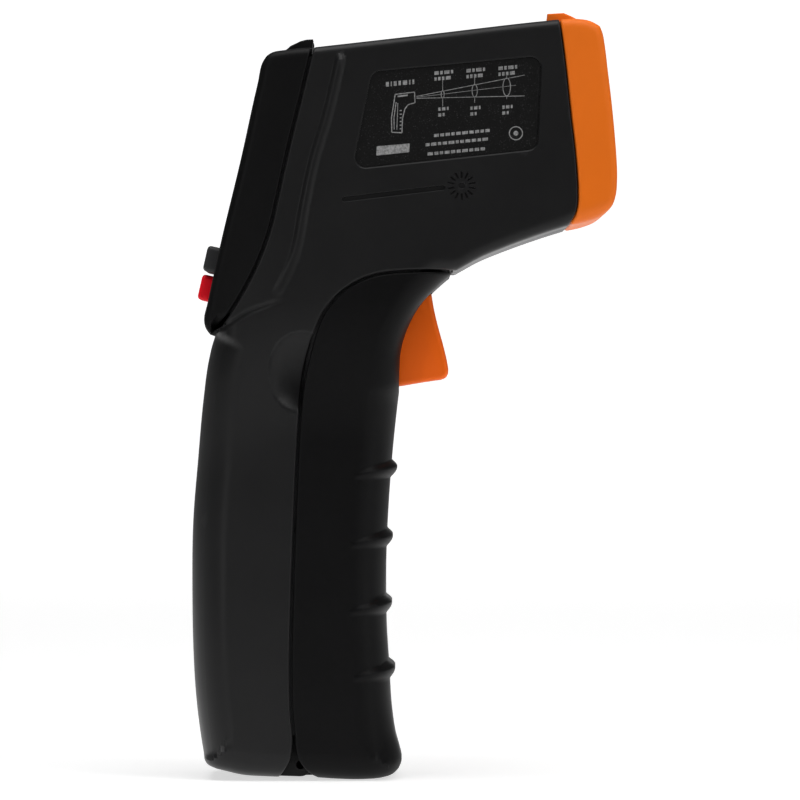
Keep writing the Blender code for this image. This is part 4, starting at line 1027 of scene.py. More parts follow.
def moulded(name, colour, roughness=0.42, grain=0.12, specular=0.3, worn=1.7, size=3800.0):
    """Moulded plastic: a fine spark-eroded grain, handled patches, and paler rubbed edges."""
    g = Graph(name, colour, roughness, specular=specular)
    handled = g.spread(g.noise(38.0, 4.0), roughness - 0.05, roughness + 0.07)
    rubbed = g.spread(g.node("ShaderNodeNewGeometry").outputs["Pointiness"], 0.0, 1.0, 0.505, 0.56)
    clouded = g.spread(g.noise(55.0, 5.0), 0.0, 0.35)
    most = g.combined("MAXIMUM", rubbed, clouded)
    waves = g.bump(g.noise(90.0, 2.0), 0.05, 0.0004)
    g.bump(g.noise(size, 2.0), grain, 0.00012, waves)
    return g.finish(g.tint(most, colour, scaled(colour, worn)), handled)


def metal(name, colour, roughness, drawn=(1.0, 1.0, 1.0)):
    """Plated or turned metal with drawing marks and a little tarnish."""
    g = Graph(name, colour, roughness, metallic=1.0)
    marks = g.noise(1500.0, 3.0, drawn)
    g.bump(marks, 0.08, 0.00008)
    tarnish = g.tint(g.noise(160.0, 4.0), scaled(colour, 0.7), colour)
    return g.finish(tarnish, g.spread(marks, roughness - 0.1, roughness + 0.12))


def board(name):
    """Solder-masked board: green resist, paler over rows of copper, on woven glass."""
    g = Graph(name, (0.01, 0.11, 0.045), 0.38)
    weave = g.noise(900.0, 2.0, (1.0, 1.0, 3.0))
    tracks = g.node("ShaderNodeTexBrick", Scale=160.0, Mortar_Size=0.03)
    g.link(g.place, tracks, "Vector")
    tracks.inputs["Color1"].default_value = (0.008, 0.1, 0.04, 1)
    tracks.inputs["Color2"].default_value = (0.012, 0.14, 0.06, 1)
    tracks.inputs["Mortar"].default_value = (0.02, 0.2, 0.09, 1)
    g.bump(weave, 0.1, 0.0001)
    return g.finish(tracks.outputs["Color"], g.spread(weave, 0.3, 0.5))


def glazing(name, colour, roughness, transmission):
    """Glass or clear plastic with faint smears."""
    g = Graph(name, colour, roughness)
    g.shader.inputs["Transmission Weight"].default_value = transmission
    g.bump(g.noise(60.0, 2.0), 0.02, 0.0003)
    smears = g.spread(g.noise(70.0, 5.0), roughness, roughness + 0.12)
    return g.finish(g.tint(g.noise(70.0, 2.0), scaled(colour, 0.94), colour), smears)


def speckled_label(name):
    """Matt printed film, its black ground finely speckled."""
    g = Graph(name, (0.004, 0.004, 0.004), 0.6, specular=0.18)
    cells = g.node("ShaderNodeTexVoronoi", Scale=2600.0)
    g.link(g.place, cells, "Vector")
    fleck = g.spread(cells.outputs["Distance"], 1.0, 0.0, 0.1, 0.34)
    cloud = g.spread(g.noise(1400.0, 3.0), 0.0, 1.0, 0.42, 0.66)
    g.bump(cells.outputs["Distance"], 0.25, 0.0001)
    speckle = g.tint(g.combined("MULTIPLY", fleck, cloud), (0.003, 0.003, 0.003), (0.045, 0.045, 0.045))
    return g.finish(speckle, g.spread(cloud, 0.5, 0.7, 0.0, 1.0))


def printed(name, colour):
    """Screen-printed ink, thin in places."""
    g = Graph(name, colour, 0.55, specular=0.3)
    thin = g.spread(g.noise(2400.0, 4.0), 0.0, 1.0, 0.38, 0.62)
    g.bump(thin, 0.15, 0.00005)
    return g.finish(g.tint(thin, scaled(colour, 0.55), colour), g.spread(thin, 0.5, 0.65, 0.0, 1.0))


def jacketed(name):
    """The battery's printed jacket: dark with a coppery upper band and a fine grain."""
    g = Graph(name, (0.02, 0.022, 0.03), 0.3, metallic=0.6)
    split = g.node("ShaderNodeSeparateXYZ")
    g.link(g.place, split, "Vector")
    band = g.spread(split.outputs["Z"], 0.0, 1.0, 0.0465, 0.0467)
    g.bump(g.noise(800.0, 3.0), 0.06, 0.0001)
    return g.finish(
        g.tint(band, (0.014, 0.016, 0.022), (0.5, 0.2, 0.07)), g.spread(g.noise(300.0, 4.0), 0.24, 0.4)
    )


def insulation(name, colour):
    """A lead's soft sleeve, a little uneven in colour."""
    g = Graph(name, colour, 0.45)
    g.bump(g.noise(2500.0, 2.0), 0.1, 0.0001)
    uneven = g.tint(g.noise(500.0, 3.0), scaled(colour, 0.8), colour)
    return g.finish(uneven, g.spread(g.noise(700.0, 2.0), 0.38, 0.55))


def ribbon(name):
    """Flat cable: pale film over rows of conductors."""
    g = Graph(name, (0.7, 0.68, 0.6), 0.4)
    wave = g.node("ShaderNodeTexWave", Scale=320.0, bands_direction="Y")
    g.link(g.place, wave, "Vector")
    strands = wave.outputs["Fac"]
    g.bump(strands, 0.2, 0.0001)
    film = g.tint(strands, (0.72, 0.7, 0.64), (0.42, 0.38, 0.3))
    return g.finish(film, g.spread(strands, 0.3, 0.45, 0.0, 1.0))


def glowless_display(name):
    """Liquid crystal glass at rest: grey-green with a faint reflector grain."""
    g = Graph(name, (0.2, 0.235, 0.19), 0.22)
    g.bump(g.noise(1800.0, 2.0), 0.03, 0.00005)
    reflector = g.tint(g.noise(1800.0, 3.0), (0.17, 0.2, 0.16), (0.24, 0.275, 0.22))
    return g.finish(reflector, g.spread(g.noise(90.0, 4.0), 0.16, 0.28))


def paper_white(name):
    """The studio's floor and backdrop: near-white paper, lit from itself behind the instrument."""
    g = Graph(name, (0.62, 0.62, 0.62), 0.9, specular=0.1)
    split = g.node("ShaderNodeSeparateXYZ")
    g.link(g.place, split, "Vector")
    # The glow starts beside the instrument, grows behind it, and fades to the sides and upwards.
    near = g.spread(split.outputs["Y"], 0.04, 0.62, -0.4, -0.06)
    strength = g.combined("ADD", near, g.spread(split.outputs["Y"], 0.0, 0.26, 0.2, 1.2))
    aside = g.node("ShaderNodeMath", operation="ABSOLUTE")
    g.link(split.outputs["X"], aside, 0)
    for value, start, end in ((aside.outputs[0], 0.32, 0.65), (split.outputs["Z"], 0.45, 1.1)):
        strength = g.combined("MULTIPLY", strength, g.spread(value, 1.0, 0.05, start, end))
    g.link(strength, g.shader, "Emission Strength")
    g.link(g.tint(g.noise(3.0, 2.0), (0.61, 0.61, 0.61), (0.63, 0.63, 0.63)), g.shader, "Base Color")
    g.shader.inputs["Emission Color"].default_value = (1.0, 1.0, 1.0, 1.0)
    g.bump(g.noise(400.0, 2.0), 0.05, 0.0002)
    return g.material


MADE = {}


def material(name):
    """A material by name, made once."""
    if name in MADE:
        return MADE[name]
    colours = bpy.context.scene.thermo_colours
    # The trigger's plastic is a shade deeper than the nose's.
    deeper = tuple(np.multiply(colours.accent, (1.14, 0.82, 0.4)))
    recipes = {
        "housing_plastic": lambda: moulded(name, tuple(colours.body), 0.37, 0.1, 0.2),
        "display_plastic": lambda: moulded(name, tuple(colours.display), 0.45, 0.1, 0.1),
        "door_plastic": lambda: moulded(name, tuple(colours.door), 0.45, 0.14, 0.1, 2.0),
        "inner_plastic": lambda: moulded(name, (0.012, 0.012, 0.013), 0.5, 0.1, 0.3),
        "orange_plastic": lambda: moulded(name, tuple(colours.accent), 0.45, 0.08, 0.2, 1.1),
        "trigger_plastic": lambda: moulded(name, deeper, 0.42, 0.08, 0.2, 1.1),
        "red_plastic": lambda: moulded(name, tuple(colours.power), 0.42, 0.06, 0.15, 1.1),
        "grey_plastic": lambda: moulded(name, (0.021, 0.021, 0.022), 0.45, 0.1, 0.25, 1.6),
        "white_plastic": lambda: moulded(name, (0.75, 0.75, 0.73), 0.4, 0.05, 0.4, 1.05),
        "chip_epoxy": lambda: moulded(name, (0.008, 0.008, 0.009), 0.6, 0.25, 0.3, 1.8, 5000.0),
        "black_rubber": lambda: moulded(name, (0.012, 0.012, 0.012), 0.7, 0.2, 0.25, 1.5, 2500.0),
        "well_black": lambda: moulded(name, (0.004, 0.004, 0.004), 0.6, 0.2, 0.2, 1.6),
        "zinc_steel": lambda: metal(name, (0.62, 0.62, 0.6), 0.32),
        "spring_steel": lambda: metal(name, (0.5, 0.5, 0.5), 0.25, (4.0, 1.0, 4.0)),
        "turned_brass": lambda: metal(name, (0.72, 0.5, 0.2), 0.28, (1.0, 6.0, 6.0)),
        "board_green": lambda: board(name),
        "clear_window": lambda: glazing(name, (0.85, 0.88, 0.86), 0.03, 1.0),
        "lens_smoke": lambda: glazing(name, (0.32, 0.27, 0.24), 0.12, 0.25),
        "laser_glass": lambda: glazing(name, (0.45, 0.05, 0.04), 0.05, 0.6),
        "label_film": lambda: speckled_label(name),
        "label_ink": lambda: printed(name, (0.34, 0.34, 0.34)),
        "battery_jacket": lambda: jacketed(name),
        "lead_red": lambda: insulation(name, (0.5, 0.02, 0.02)),
        "lead_black": lambda: insulation(name, (0.012, 0.012, 0.012)),
        "flat_cable": lambda: ribbon(name),
        "lcd_glass": lambda: glowless_display(name),
        "lcd_ink": lambda: printed(name, (0.13, 0.155, 0.125)),
        "studio_paper": lambda: paper_white(name),
    }
    MADE[name] = recipes[name]()
    return MADE[name]


def dress(name, *nodes):
    """Gives CAD nodes a material, in the slots that they have."""
    for node in nodes:
        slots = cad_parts[node].material_slots
        if not slots:
            raise RuntimeError(f"{node} has no material slot")
        for slot in slots:
            slot.material = material(name)


# ---------------------------------------------------------------- parts of the head and the handle


def form():
    """The shared form and the seam lines, made once."""
    if "form" not in MADE:
        MADE["form"] = Form()
        MADE["lines"] = seam_lines()
    return MADE["form"], MADE["lines"]


def surface_y(x, z):
    """How far out the side stands at a point of the side view."""
    return float(form()[0].half_width(np.array([[x, z]]))[0][0])


def centre_of(node):
    """The middle of a CAD node's box in the side view, mm."""
    low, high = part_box(node)
    return (low.x + high.x) / 2 / MM, (low.z + high.z) / 2 / MM


def recess_cutter(name, outline, depth, sign, chamfer=0.28):
    """Cuts a recess of the outline's shape in one side, its rim chamfered."""
    middle = np.asarray(outline).mean(axis=0)
    face = surface_y(*middle)
    wide = 2 * chamfer
    levels = [(face - depth, 0.0), (face - chamfer, 0.0), (face + chamfer, wide), (face + 0.7, wide)]
    return stack(name, [flat(grown(outline, more), sign * y) for y, more in levels])


def capsule(start, end, half, steps=8):
    """An outline round a straight groove."""
    start, end = np.asarray(start, float), np.asarray(end, float)
    along = (end - start) / np.linalg.norm(end - start)
    lean = math.atan2(along[1], along[0])
    points = []
    for centre, turn in ((end, lean - math.pi / 2), (start, lean + math.pi / 2)):
        for k in range(steps + 1):
            angle = turn + math.pi * k / steps
            points.append(centre + half * np.array([math.cos(angle), math.sin(angle)]))
    return np.array(points)


def side_cutters(sign, labels):
    """Everything moulded into one side: the label's recess, the long groove and the dial."""
    cutters = [recess_cutter("label_recess", rounded(LABEL, LABEL_CORNER, 8), labels.recess, sign)]
    cutters.append(recess_cutter("groove", capsule(*GROOVE, GROOVE_HALF), GROOVE_DEEP, sign, 0.12))
    inner, outer, half, deep = DIAL_SLOT
    for k in range(labels.slots):
        turn = 2 * math.pi * (k + 0.5) / labels.slots
        spoke = np.array([math.cos(turn), math.sin(turn)])
        slot = capsule(np.array(DIAL) + spoke * inner, np.array(DIAL) + spoke * outer, half, 5)
        cutters.append(recess_cutter(f"dial_slot_{k}", slot, deep, sign, 0.05))
    radius, deep = DIAL_PIP
    cutters.append(recess_cutter("dial_pip", circle(DIAL, radius, 20), deep, sign, 0.1))
    return joined_objects("side_cutters", cutters)


def arc(centre, radius, start, end, step=12.0):
    """Points round a circle, counter-clockwise between two angles in degrees."""
    turn = np.radians(np.linspace(start, end, int((end - start) / step) + 1))
    return np.column_stack([centre[0] + radius * np.cos(turn), centre[1] + radius * np.sin(turn)])


def seam_lip(name, line, width, hoop=False, foot=False, start=0.0):
    """Strips of the housing behind a seam, for the next moulding to close on. As a hoop, the strip
    carries on across the top, and with a foot across the bottom too. It may start some way up."""
    along = directions(line)
    ahead = np.column_stack([along[:, 1], -along[:, 0]])

    def ring(k, sign, turn=0.0, middle=False):
        """The strip's section. Turned, it leans inwards along the seam too, as a mitre does."""
        edges = np.array([line[k] - ahead[k] * LIP_BACK, line[k] + ahead[k] * LIP_AHEAD])
        out = width(edges)
        points = []
        for edge, deep in ((0, LIP_TOP), (1, LIP_TOP), (1, LIP_DEEP), (0, LIP_DEEP)):
            x, z = edges[edge] - turn * along[k] * deep
            points.append((x, sign * (0.01 if middle else out[edge] - deep), z))
        return np.array(points)

    # The sections stay clear of the mitres at the ends.
    run = run_of(line)
    clear = LIP_DEEP + 0.4
    first, last = max(start, clear * foot), run[-1] - clear * hoop
    inner = [k for k in range(0, len(line), 6) if first <= run[k] < last]
    right = [ring(k, -1) for k in inner]
    left = [ring(k, 1) for k in inner[::-1]]
    if not hoop:
        return joined_objects(name, [stack(name, right), stack(name, left)])
    rings = [*right, ring(-1, -1, 1.0), ring(-1, 1, 1.0), *left]
    if foot:
        rings = [ring(0, -1, -1.0, True), ring(0, -1, -1.0), *rings, ring(0, 1, -1.0), ring(0, 1, -1.0, True)]
    return stack(name, rings)


def hinge_lug(name, sign):
    """The housing's ear round the hinge pin."""
    x, z = centre_of("hinge_pin")
    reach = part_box("hinge_pin")[1].y / MM
    web = [(x + 0.4, z + 8.4), (x - 4.0, z + 8.4), (x - 6.5, z - 2.2)]
    outline = np.vstack([arc((x, z), BOSS_RADIUS, -90, 70), web])
    inner, outer = sorted((sign * (reach - 3.0), sign * reach))
    return finished(prism(name, outline, inner, outer, 0.25), material("well_black"), "body")


def screw_well(name, node):
    """A tube that leads a housing screw in from the left side, from its head to the wall."""
    x, z = centre_of(node)
    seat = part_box(node)[1].y / MM - 1.7
    length = surface_y(x, z) - 0.9 - seat
    profile = [(TUBE_BORE, 0.0), (TUBE_OUTER, 0.0), (TUBE_OUTER, length), (TUBE_BORE, length)]
    tube = turned(name, profile, 40)
    placed(tube, Matrix.Translation(Vector((x, seat, z)) * MM) @ Matrix.Rotation(-math.pi / 2, 4, "X"))
    return finished(tube, material("inner_plastic"), "body")


def well_cutters():
    """The mouths of the screw wells in the left housing."""
    cutters = []
    for screw in SCREWS:
        centre = centre_of(screw)
        face = surface_y(*centre)
        levels = [(face - 6.0, 0.0), (face - 0.25, 0.0), (face + 0.8, 0.9)]
        rings = [flat(circle(centre, TUBE_BORE + more, 40), y) for y, more in levels]
        cutters.append(stack(f"{screw}_well", rings))
    return joined_objects("well_cutters", cutters)


class THERMO_OT_housings(bpy.types.Operator):
    """The right and left housings: the handle's rear half and the head"""

    bl_idname = "thermo.housings"
    bl_label = "Housings"

    def execute(self, context):
        settings, labels = context.scene.thermo_shells, context.scene.thermo_labels
        shape, lines = form()
        grids, seams = body_grids(shape, lines)
        shell = Shell(shape, grids, -MIDDLE_GAP, settings.wall)
        shell.soften(seams, settings.edge)
        shell.soften_middle(MIDDLE_EDGE)
        rib_and_rest(shell, settings)
        for side_name, sign in (("right", -1), ("left", 1)):
            piece = shell.solid(f"body_{side_name}", side=sign)
            combined(piece, side_cutters(sign, labels))
            if sign > 0:
                combined(piece, well_cutters())
            finished(piece, material("housing_plastic"), "body", (f"housing_{side_name}",))
            hinge_lug(f"hinge_lug_{side_name}", sign)
        for k, screw in enumerate(SCREWS, 1):
            screw_well(f"screw_well_{k}", screw)
        for lip in self.lips(shape, lines, settings.thumb_depth):
            finished(lip, material("inner_plastic"), "body")
        dress("zinc_steel", *SCREWS, "hinge_pin")
        return {"FINISHED"}

    def lips(self, shape, lines, thumb_depth):
        """The strips that close the seams of the door, the display housing and the nose."""

        def beside_door(p):
            return shape.half_width(p)[0] - thumb_scoop(p, thumb_depth) - LIP_SINK

        def beside_display(p):
            low = p[:, 1] < 112.0
            return np.where(low, shape.half_width(p)[0] - LIP_SINK, shape.side_width(p))

        # The door's lip stops short of the guard's tip, and the display's starts above the notch.
        door_seam = joined(lines["door_low"], lines["door_high"])[:-24]
        return [
            seam_lip("door_lip", door_seam, beside_door),
            seam_lip("display_lip", lines["display"], beside_display, hoop=True, start=4.5),
            seam_lip("nose_lip", lines["nose"], shape.side_width, hoop=True, foot=True),
        ]


def face_frame():
    """Local +X goes into the display housing and local +Z up its rear face."""
    return frame_at(*FACE_FOOT, FACE_TILT)


def face_prism(name, outline, low, high, edge=0.0):
    """A (y, up) outline of the rear face, from low to high into the housing."""
    piece = prism(name, outline, low, high, edge)
    swing = Matrix(((0, 1, 0, 0), (1, 0, 0, 0), (0, 0, 1, 0), (0, 0, 0, 1)))
    return outward(placed(piece, face_frame() @ swing))


def rectangle(middle, low, width, height, radius):
    """A rounded rectangle of the rear face, as (y, up) points."""
    left, right, high = middle - width / 2, middle + width / 2, low + height
    return rounded([(left, low), (right, low), (right, high), (left, high)], radius)


def seven_segments(y, up, height, lit):
    """The dark segments of one figure, as (y, up) outlines. +y is on the left as the face is read."""
    width, bar, slant = height * 0.52, height * 0.09, 0.09
    half = height / 2
    spots = {
        "a": (0, height, True), "g": (0, half, True), "d": (0, 0, True),
        "f": (width / 2, half * 1.5, False), "b": (-width / 2, half * 1.5, False),
        "e": (width / 2, half * 0.5, False), "c": (-width / 2, half * 0.5, False),
    }
    outlines = []
    for key in lit:
        dy, dz, level = spots[key]
        reach = (width if level else half) / 2 - bar * 0.62
        end = np.array([reach, 0.0]) if level else np.array([0.0, reach])
        side = np.array([0.0, bar / 2]) if level else np.array([bar / 2, 0.0])
        tip = end + end / reach * bar * 0.45
        lean = np.array([[1.0, -slant], [0.0, 1.0]])
        shape = np.array([tip, end + side, -end + side, -tip, -end - side, end - side])
        outlines.append(shape @ lean.T + np.array([y + dy - slant * dz, up + dz]))
    return outlines


class THERMO_OT_display(bpy.types.Operator):
    """The display housing, its window, bezel, display and rear sight"""

    bl_idname = "thermo.display"
    bl_label = "Display"

    def execute(self, context):
        settings = context.scene.thermo_shells
        shape, lines = form()
        grids, seams = display_grids(shape, lines)
        shell = Shell(shape, grids, 0.0, settings.wall, TIP)
        shell.soften(seams, settings.edge)
        case = shell.solid("display_case", whole=True)
        width, low, height = WINDOW
        rim, gap = 1.45, 0.35
        around = rectangle(0, low - 1.6, width + 3.2, height + 3.2, 2.4)
        combined(case, face_prism("window_cut", rectangle(0, low, width, height, 1.6), -4.0, 5.0))
        combined(case, face_prism("bezel_cut", around, -4.0, 0.55))
        tall = BUTTON_HEIGHT + 2 * gap
        for name, y, up, wide, _, _ in BUTTONS:
            hole = rectangle(y, up - tall / 2, wide + 2 * gap, tall, 1.3)
            combined(case, face_prism(f"{name}_cut", hole, -4.0, 5.0))
        finished(case, material("display_plastic"), "body", ("display_housing",))
        outside = rectangle(0, low - rim, width + 2 * rim, height + 2 * rim, 2.3)
        inside = rectangle(0, low + 0.5, width - 1.0, height - 1.0, 1.2)
        ring = face_prism("window_bezel", outside, 0.15, 1.9, 0.2)
        combined(ring, face_prism("bezel_hole", inside, -3.0, 4.0))
        finished(ring, material("grey_plastic"), "body")
        self.sight()
        self.figures()
        dress("clear_window", "display_window")
        dress("lcd_glass", "display_glass")
        dress("white_plastic", "backlight_guide")
        dress("black_rubber", "contact_strip")
        dress("board_green", "display_board")
        dress("zinc_steel", "key_switch_left", "key_switch_right", "key_switch_red")
        dress("chip_epoxy", "controller_chip")
        dress("flat_cable", "ribbon_cable")
        return {"FINISHED"}

    def sight(self):
        """The notched rear sight, standing on the housing's top."""
        fin = prism("rear_sight", REAR_SIGHT, -9.0, 9.0, 0.35)
        combined(fin, prism("sight_notch", SIGHT_NOTCH, -2.0, 2.0))
        finished(fin, material("display_plastic"), "body")

    def figures(self):
        """The display's figures and marks at rest, seen faintly through the window."""
        inverse = face_frame().inverted()
        depth = min((inverse @ v.co).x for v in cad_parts["display_glass"].data.vertices) / MM
        outlines = []
        for y in (10.2, 3.4, -3.4):
            outlines += seven_segments(y, 31.5, 10.0, "abcdefg")
        outlines += seven_segments(-9.6, 31.5, 5.0, "adef")
        for y in (9.0, 5.4, 1.8):
            outlines += seven_segments(y, 23.9, 4.4, "abcdefg")
        outlines.append(circle((-11.3, 40.0), 0.8, 16))
        outlines += [rectangle(y, 45.6, 5.0, 2.0, 0.5) for y in (8.6, -0.4, -9.0)]
        ends = (depth - 0.05, depth - 0.01)
        marks = [face_prism(f"mark_{k}", outline, *ends) for k, outline in enumerate(outlines)]
        finished(joined_objects("display_figures", marks), material("lcd_ink"), "body")


class THERMO_OT_buttons(bpy.types.Operator):
    """Two grey buttons and a red one on the rear face"""

    bl_idname = "thermo.buttons"
    bl_label = "Buttons"

    def execute(self, context):
        inverse = face_frame().inverted()
        for name, y, up, wide, look, slot in BUTTONS:
            depths = [(inverse @ v.co).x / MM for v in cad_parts[f"button_{name}"].data.vertices]
            proud, back = min(depths), max(depths)
            outline = rectangle(y, up - BUTTON_HEIGHT / 2, wide, BUTTON_HEIGHT, 1.1)
            cap = face_prism(f"{name}_button", outline, proud, 1.2, 0.75)
            flange = face_prism(f"{name}_flange", rectangle(y, up - 3.4, wide + 1.4, 6.8, 0.8), 1.95, 2.8)
            foot = face_prism(f"{name}_foot", rectangle(y, up - 1.3, 2.6, 2.6, 0.5), 2.6, back)
            stem = face_prism(f"{name}_stem", rectangle(y, up - 2.5, wide - 0.6, 5.0, 0.8), 0.9, 2.2)
            for part in (stem, flange, foot):
                combined(cap, part, "UNION")
            finished(cap, material(look), f"{name}_button", (f"button_{name}",))
        return {"FINISHED"}


def nose_frame():
    """Local +Z points out along the barrel and local +X down the nose."""
    return frame_at(*NOSE_MIDDLE, math.pi / 2 - BARREL_PITCH)


class THERMO_OT_nose(bpy.types.Operator):
    """The nose cap with its mouth and front sight, the front plate, lens well and optics"""

    bl_idname = "thermo.nose"
    bl_label = "Nose and optics"

    def execute(self, context):
        settings = context.scene.thermo_shells
        shape, lines = form()
        grids, seams = nose_grids(shape, lines)
        shell = Shell(shape, grids, 0.0, settings.wall)
        shell.soften(seams, settings.edge)
        cap = shell.solid("nose_rim", whole=True)
        mouth = rounded(MOUTH, 5.0, 10)
        combined(cap, self.plug("mouth", mouth, [(-14.0, -0.2), (-1.4, -0.2), (0.4, 0.25), (3.0, 2.0)]))
        sight = prism("front_sight", FRONT_SIGHT, -1.6, 1.6, 0.3)
        finished(sight, material("orange_plastic"), "body")
        finished(cap, material("orange_plastic"), "body", ("nose_cap",))
        plate = self.plug("nose_plate", grown(mouth, -0.35), [(-3.2, 0.0), (-1.5, 0.0), (-1.2, -0.3)])
        for name, down, radius in PLATE_HOLES:
            wide = radius + 0.5
            profile = [(0.0, -9.0), (radius, -9.0), (radius, -1.6), (wide, -1.1), (wide, 3.0), (0.0, 3.0)]
            combined(plate, self.placed_down(turned(name, profile, 72), down))
        finished(plate, material("display_plastic"), "body", ("front_plate",))
        self.rings()
        dress("well_black", "optics_tube")
        dress("lens_smoke", "infrared_lens")
        dress("zinc_steel", "sensor_can")
        dress("board_green", "sensor_board")
        dress("turned_brass", "laser_module")
        dress("laser_glass", "laser_lens")
        return {"FINISHED"}

    def plug(self, name, outline, levels):
        """A solid of the (down, across) outline, through (height, growth) levels along the barrel."""
        rings = []
        for height, more in levels:
            spread = grown(outline, more)
            rings.append(np.column_stack([spread, np.full(len(spread), height)]))
        return placed(stack(name, rings), nose_frame())

    def placed_down(self, obj, down):
        """A turned solid on the barrel's axis, some way down the nose."""
        return placed(obj, nose_frame() @ Matrix.Translation((down * MM, 0, 0)))

    def rings(self):
        """Stepped baffles inside the lens well, each with a smaller hole than the one before."""
        outer, down, parts = 7.05, PLATE_HOLES[0][1], []
        for k, height in enumerate(BAFFLE_DEPTHS):
            foot, step = height - 0.35, 0.25 * k
            profile = [(6.6 - step, foot), (outer, foot), (outer, height + 0.1), (6.85 - step, height)]
            parts.append(self.placed_down(turned(f"baffle_{k}", profile, 72), down))
        finished(joined_objects("well_baffles", parts), material("well_black"), "body")


class THERMO_OT_door(bpy.types.Operator):
    """The battery door: the front half of the handle, with the trigger's guard and the finger ridges"""

    bl_idname = "thermo.door"
    bl_label = "Battery door"

    def execute(self, context):
        settings = context.scene.thermo_shells
        shape, lines = form()
        grids, seams = door_grids(shape, lines)
        shell = Shell(shape, grids, 0.0, settings.wall, GUARD_TIP)
        shell.soften(seams, settings.edge)
        finger_ridges(shell, settings.ridge_proud)
        door = shell.solid("grip_door", whole=True)
        combined(door, prism("slot_cut", TRIGGER_SLOT, -SLOT_HALF, SLOT_HALF))
        finished(door, material("door_plastic"), "door", ("battery_door",))
        self.ears()
        self.knuckle()
        dress("zinc_steel", "trigger_pin")
        dress("spring_steel", "trigger_spring")
        return {"FINISHED"}

    def ears(self):
        """The lugs that carry the trigger's pin, beside the slot."""
        x, z = centre_of("trigger_pin")
        corners = [(-2.6, -2.6), (2.2, -2.4), (3.0, 1.4), (1.0, 2.4), (-2.6, 2.4)]
        outline = rounded([(x + dx, z + dz) for dx, dz in corners], 0.5, 3)
        for side_name, sign in (("right", -1), ("left", 1)):
            inner, outer = sorted((sign * SLOT_HALF, sign * EAR_HALF))
            ear = prism(f"pin_ear_{side_name}", outline, inner, outer, 0.2)
            combined(ear, prism("pin_hole", circle((x, z), PIN_BORE, 24), -20, 20))
            finished(ear, material("inner_plastic"), "door")

    def knuckle(self):
        """The door's knuckle round the hinge pin, and the web that carries it."""
        x, z = centre_of("hinge_pin")
        web = [(x + 6.5, z - 2.3), (x + 6.5, z - 0.7)]
        outline = np.vstack([arc((x, z), BOSS_RADIUS, -10, 270), web])
        piece = prism("door_knuckle", outline, -KNUCKLE_HALF, KNUCKLE_HALF, 0.25)
        combined(piece, prism("knuckle_bore", circle((x, z), PIN_BORE, 24), -20, 20))
        finished(piece, material("well_black"), "door")


class THERMO_OT_trigger(bpy.types.Operator):
    """The trigger, hollow behind its concave face"""

    bl_idname = "thermo.trigger"
    bl_label = "Trigger"

    def execute(self, context):
        x, z = centre_of("trigger_pin")
        face, sole = through(TRIGGER_FACE), through(TRIGGER_SOLE, 0.3)
        boss = arc((x, z), BOSS_RADIUS, 40, 200, 10.0)
        back = [(x - 3.2, z - 5.0), (-5.6, 87.0), (-5.5, 81.6)]
        piece = self.crowned(np.vstack([sole[::2], face[2::4], boss, back]))
        inner = [(-12.5, 83.8), (5.2, 85.2), (x + 2.6, z - 3.4), (x + 2.0, 107.0), (-12.5, 107.0)]
        combined(piece, prism("hollow", inner, -TRIGGER_HOLLOW, TRIGGER_HOLLOW))
        combined(piece, prism("bore", circle((x, z), PIN_BORE, 24), -12, 12))
        finished(piece, material("trigger_plastic"), "trigger_lever", ("trigger",))
        return {"FINISHED"}

    def crowned(self, outline):
        """The outline carried across, its rims well rounded."""
        turns = np.radians(np.arange(0, 91, 15))
        levels = [
            (-TRIGGER_HALF + TRIGGER_ROUND * (1 - math.cos(t)), TRIGGER_ROUND * (math.sin(t) - 1))
            for t in turns
        ]
        levels += [(-y, more) for y, more in levels[::-1]]
        return stack("trigger_lever", [flat(grown(outline, more * 0.62), y) for y, more in levels])


def stroke(points, width):
    """A line of the print as an outline of even width."""
    p = np.asarray(points, float)
    along = directions(p)
    across = np.column_stack([-along[:, 1], along[:, 0]]) * width / 2
    return np.vstack([p + across, (p - across)[::-1]])


def ring_stroke(centre, wide, tall, width, count=28):
    """A drawn ellipse, as two outlines that leave its middle clear."""
    turn = np.linspace(0, math.pi, count // 2 + 1)
    halves = []
    for sign in (1, -1):
        half = np.column_stack([np.sin(turn) * sign * wide / 2, np.cos(turn) * tall / 2]) + centre
        halves.append(stroke(half, width))
    return halves


def bars(x, z, widths, tall=0.62, gap=0.3):
    """A row of short bars, leaning with the label, where wording or figures would be."""
    lean = math.tan(math.radians(5.4))
    row, start = [], x
    for wide in widths:
        low, rise = z + (x - start) * lean, wide * lean
        row.append([(x, low), (x + wide, low + rise), (x + wide, low + rise + tall), (x, low + tall)])
        x += wide + gap
    return row


def drawn_instrument():
    """The label's small drawing of an instrument."""
    head = [(-2.0, 140.0), (-1.7, 142.0), (2.3, 142.5), (2.4, 140.3), (1.0, 139.9), (0.3, 139.0)]
    grip = [(-2.0, 140.0), (-2.45, 137.2), (-2.4, 134.2), (-0.3, 134.1), (-0.2, 137.0), (0.3, 139.0)]
    marks = [stroke([a, b], 0.2) for line in (head, grip) for a, b in zip(line, line[1:])]
    marks.append(stroke([(-1.5, 140.4), (-1.95, 137.2), (-1.9, 134.8)], 0.16))
    marks.append(stroke([(-1.15, 140.2), (-1.35, 134.7)], 0.13))
    for k in range(6):
        marks.append(stroke([(-0.75, 134.9 + 0.75 * k), (-0.35, 134.95 + 0.75 * k)], 0.22))
    marks.append(stroke([(-1.2, 141.6), (0.9, 141.85)], 0.32))
    return marks


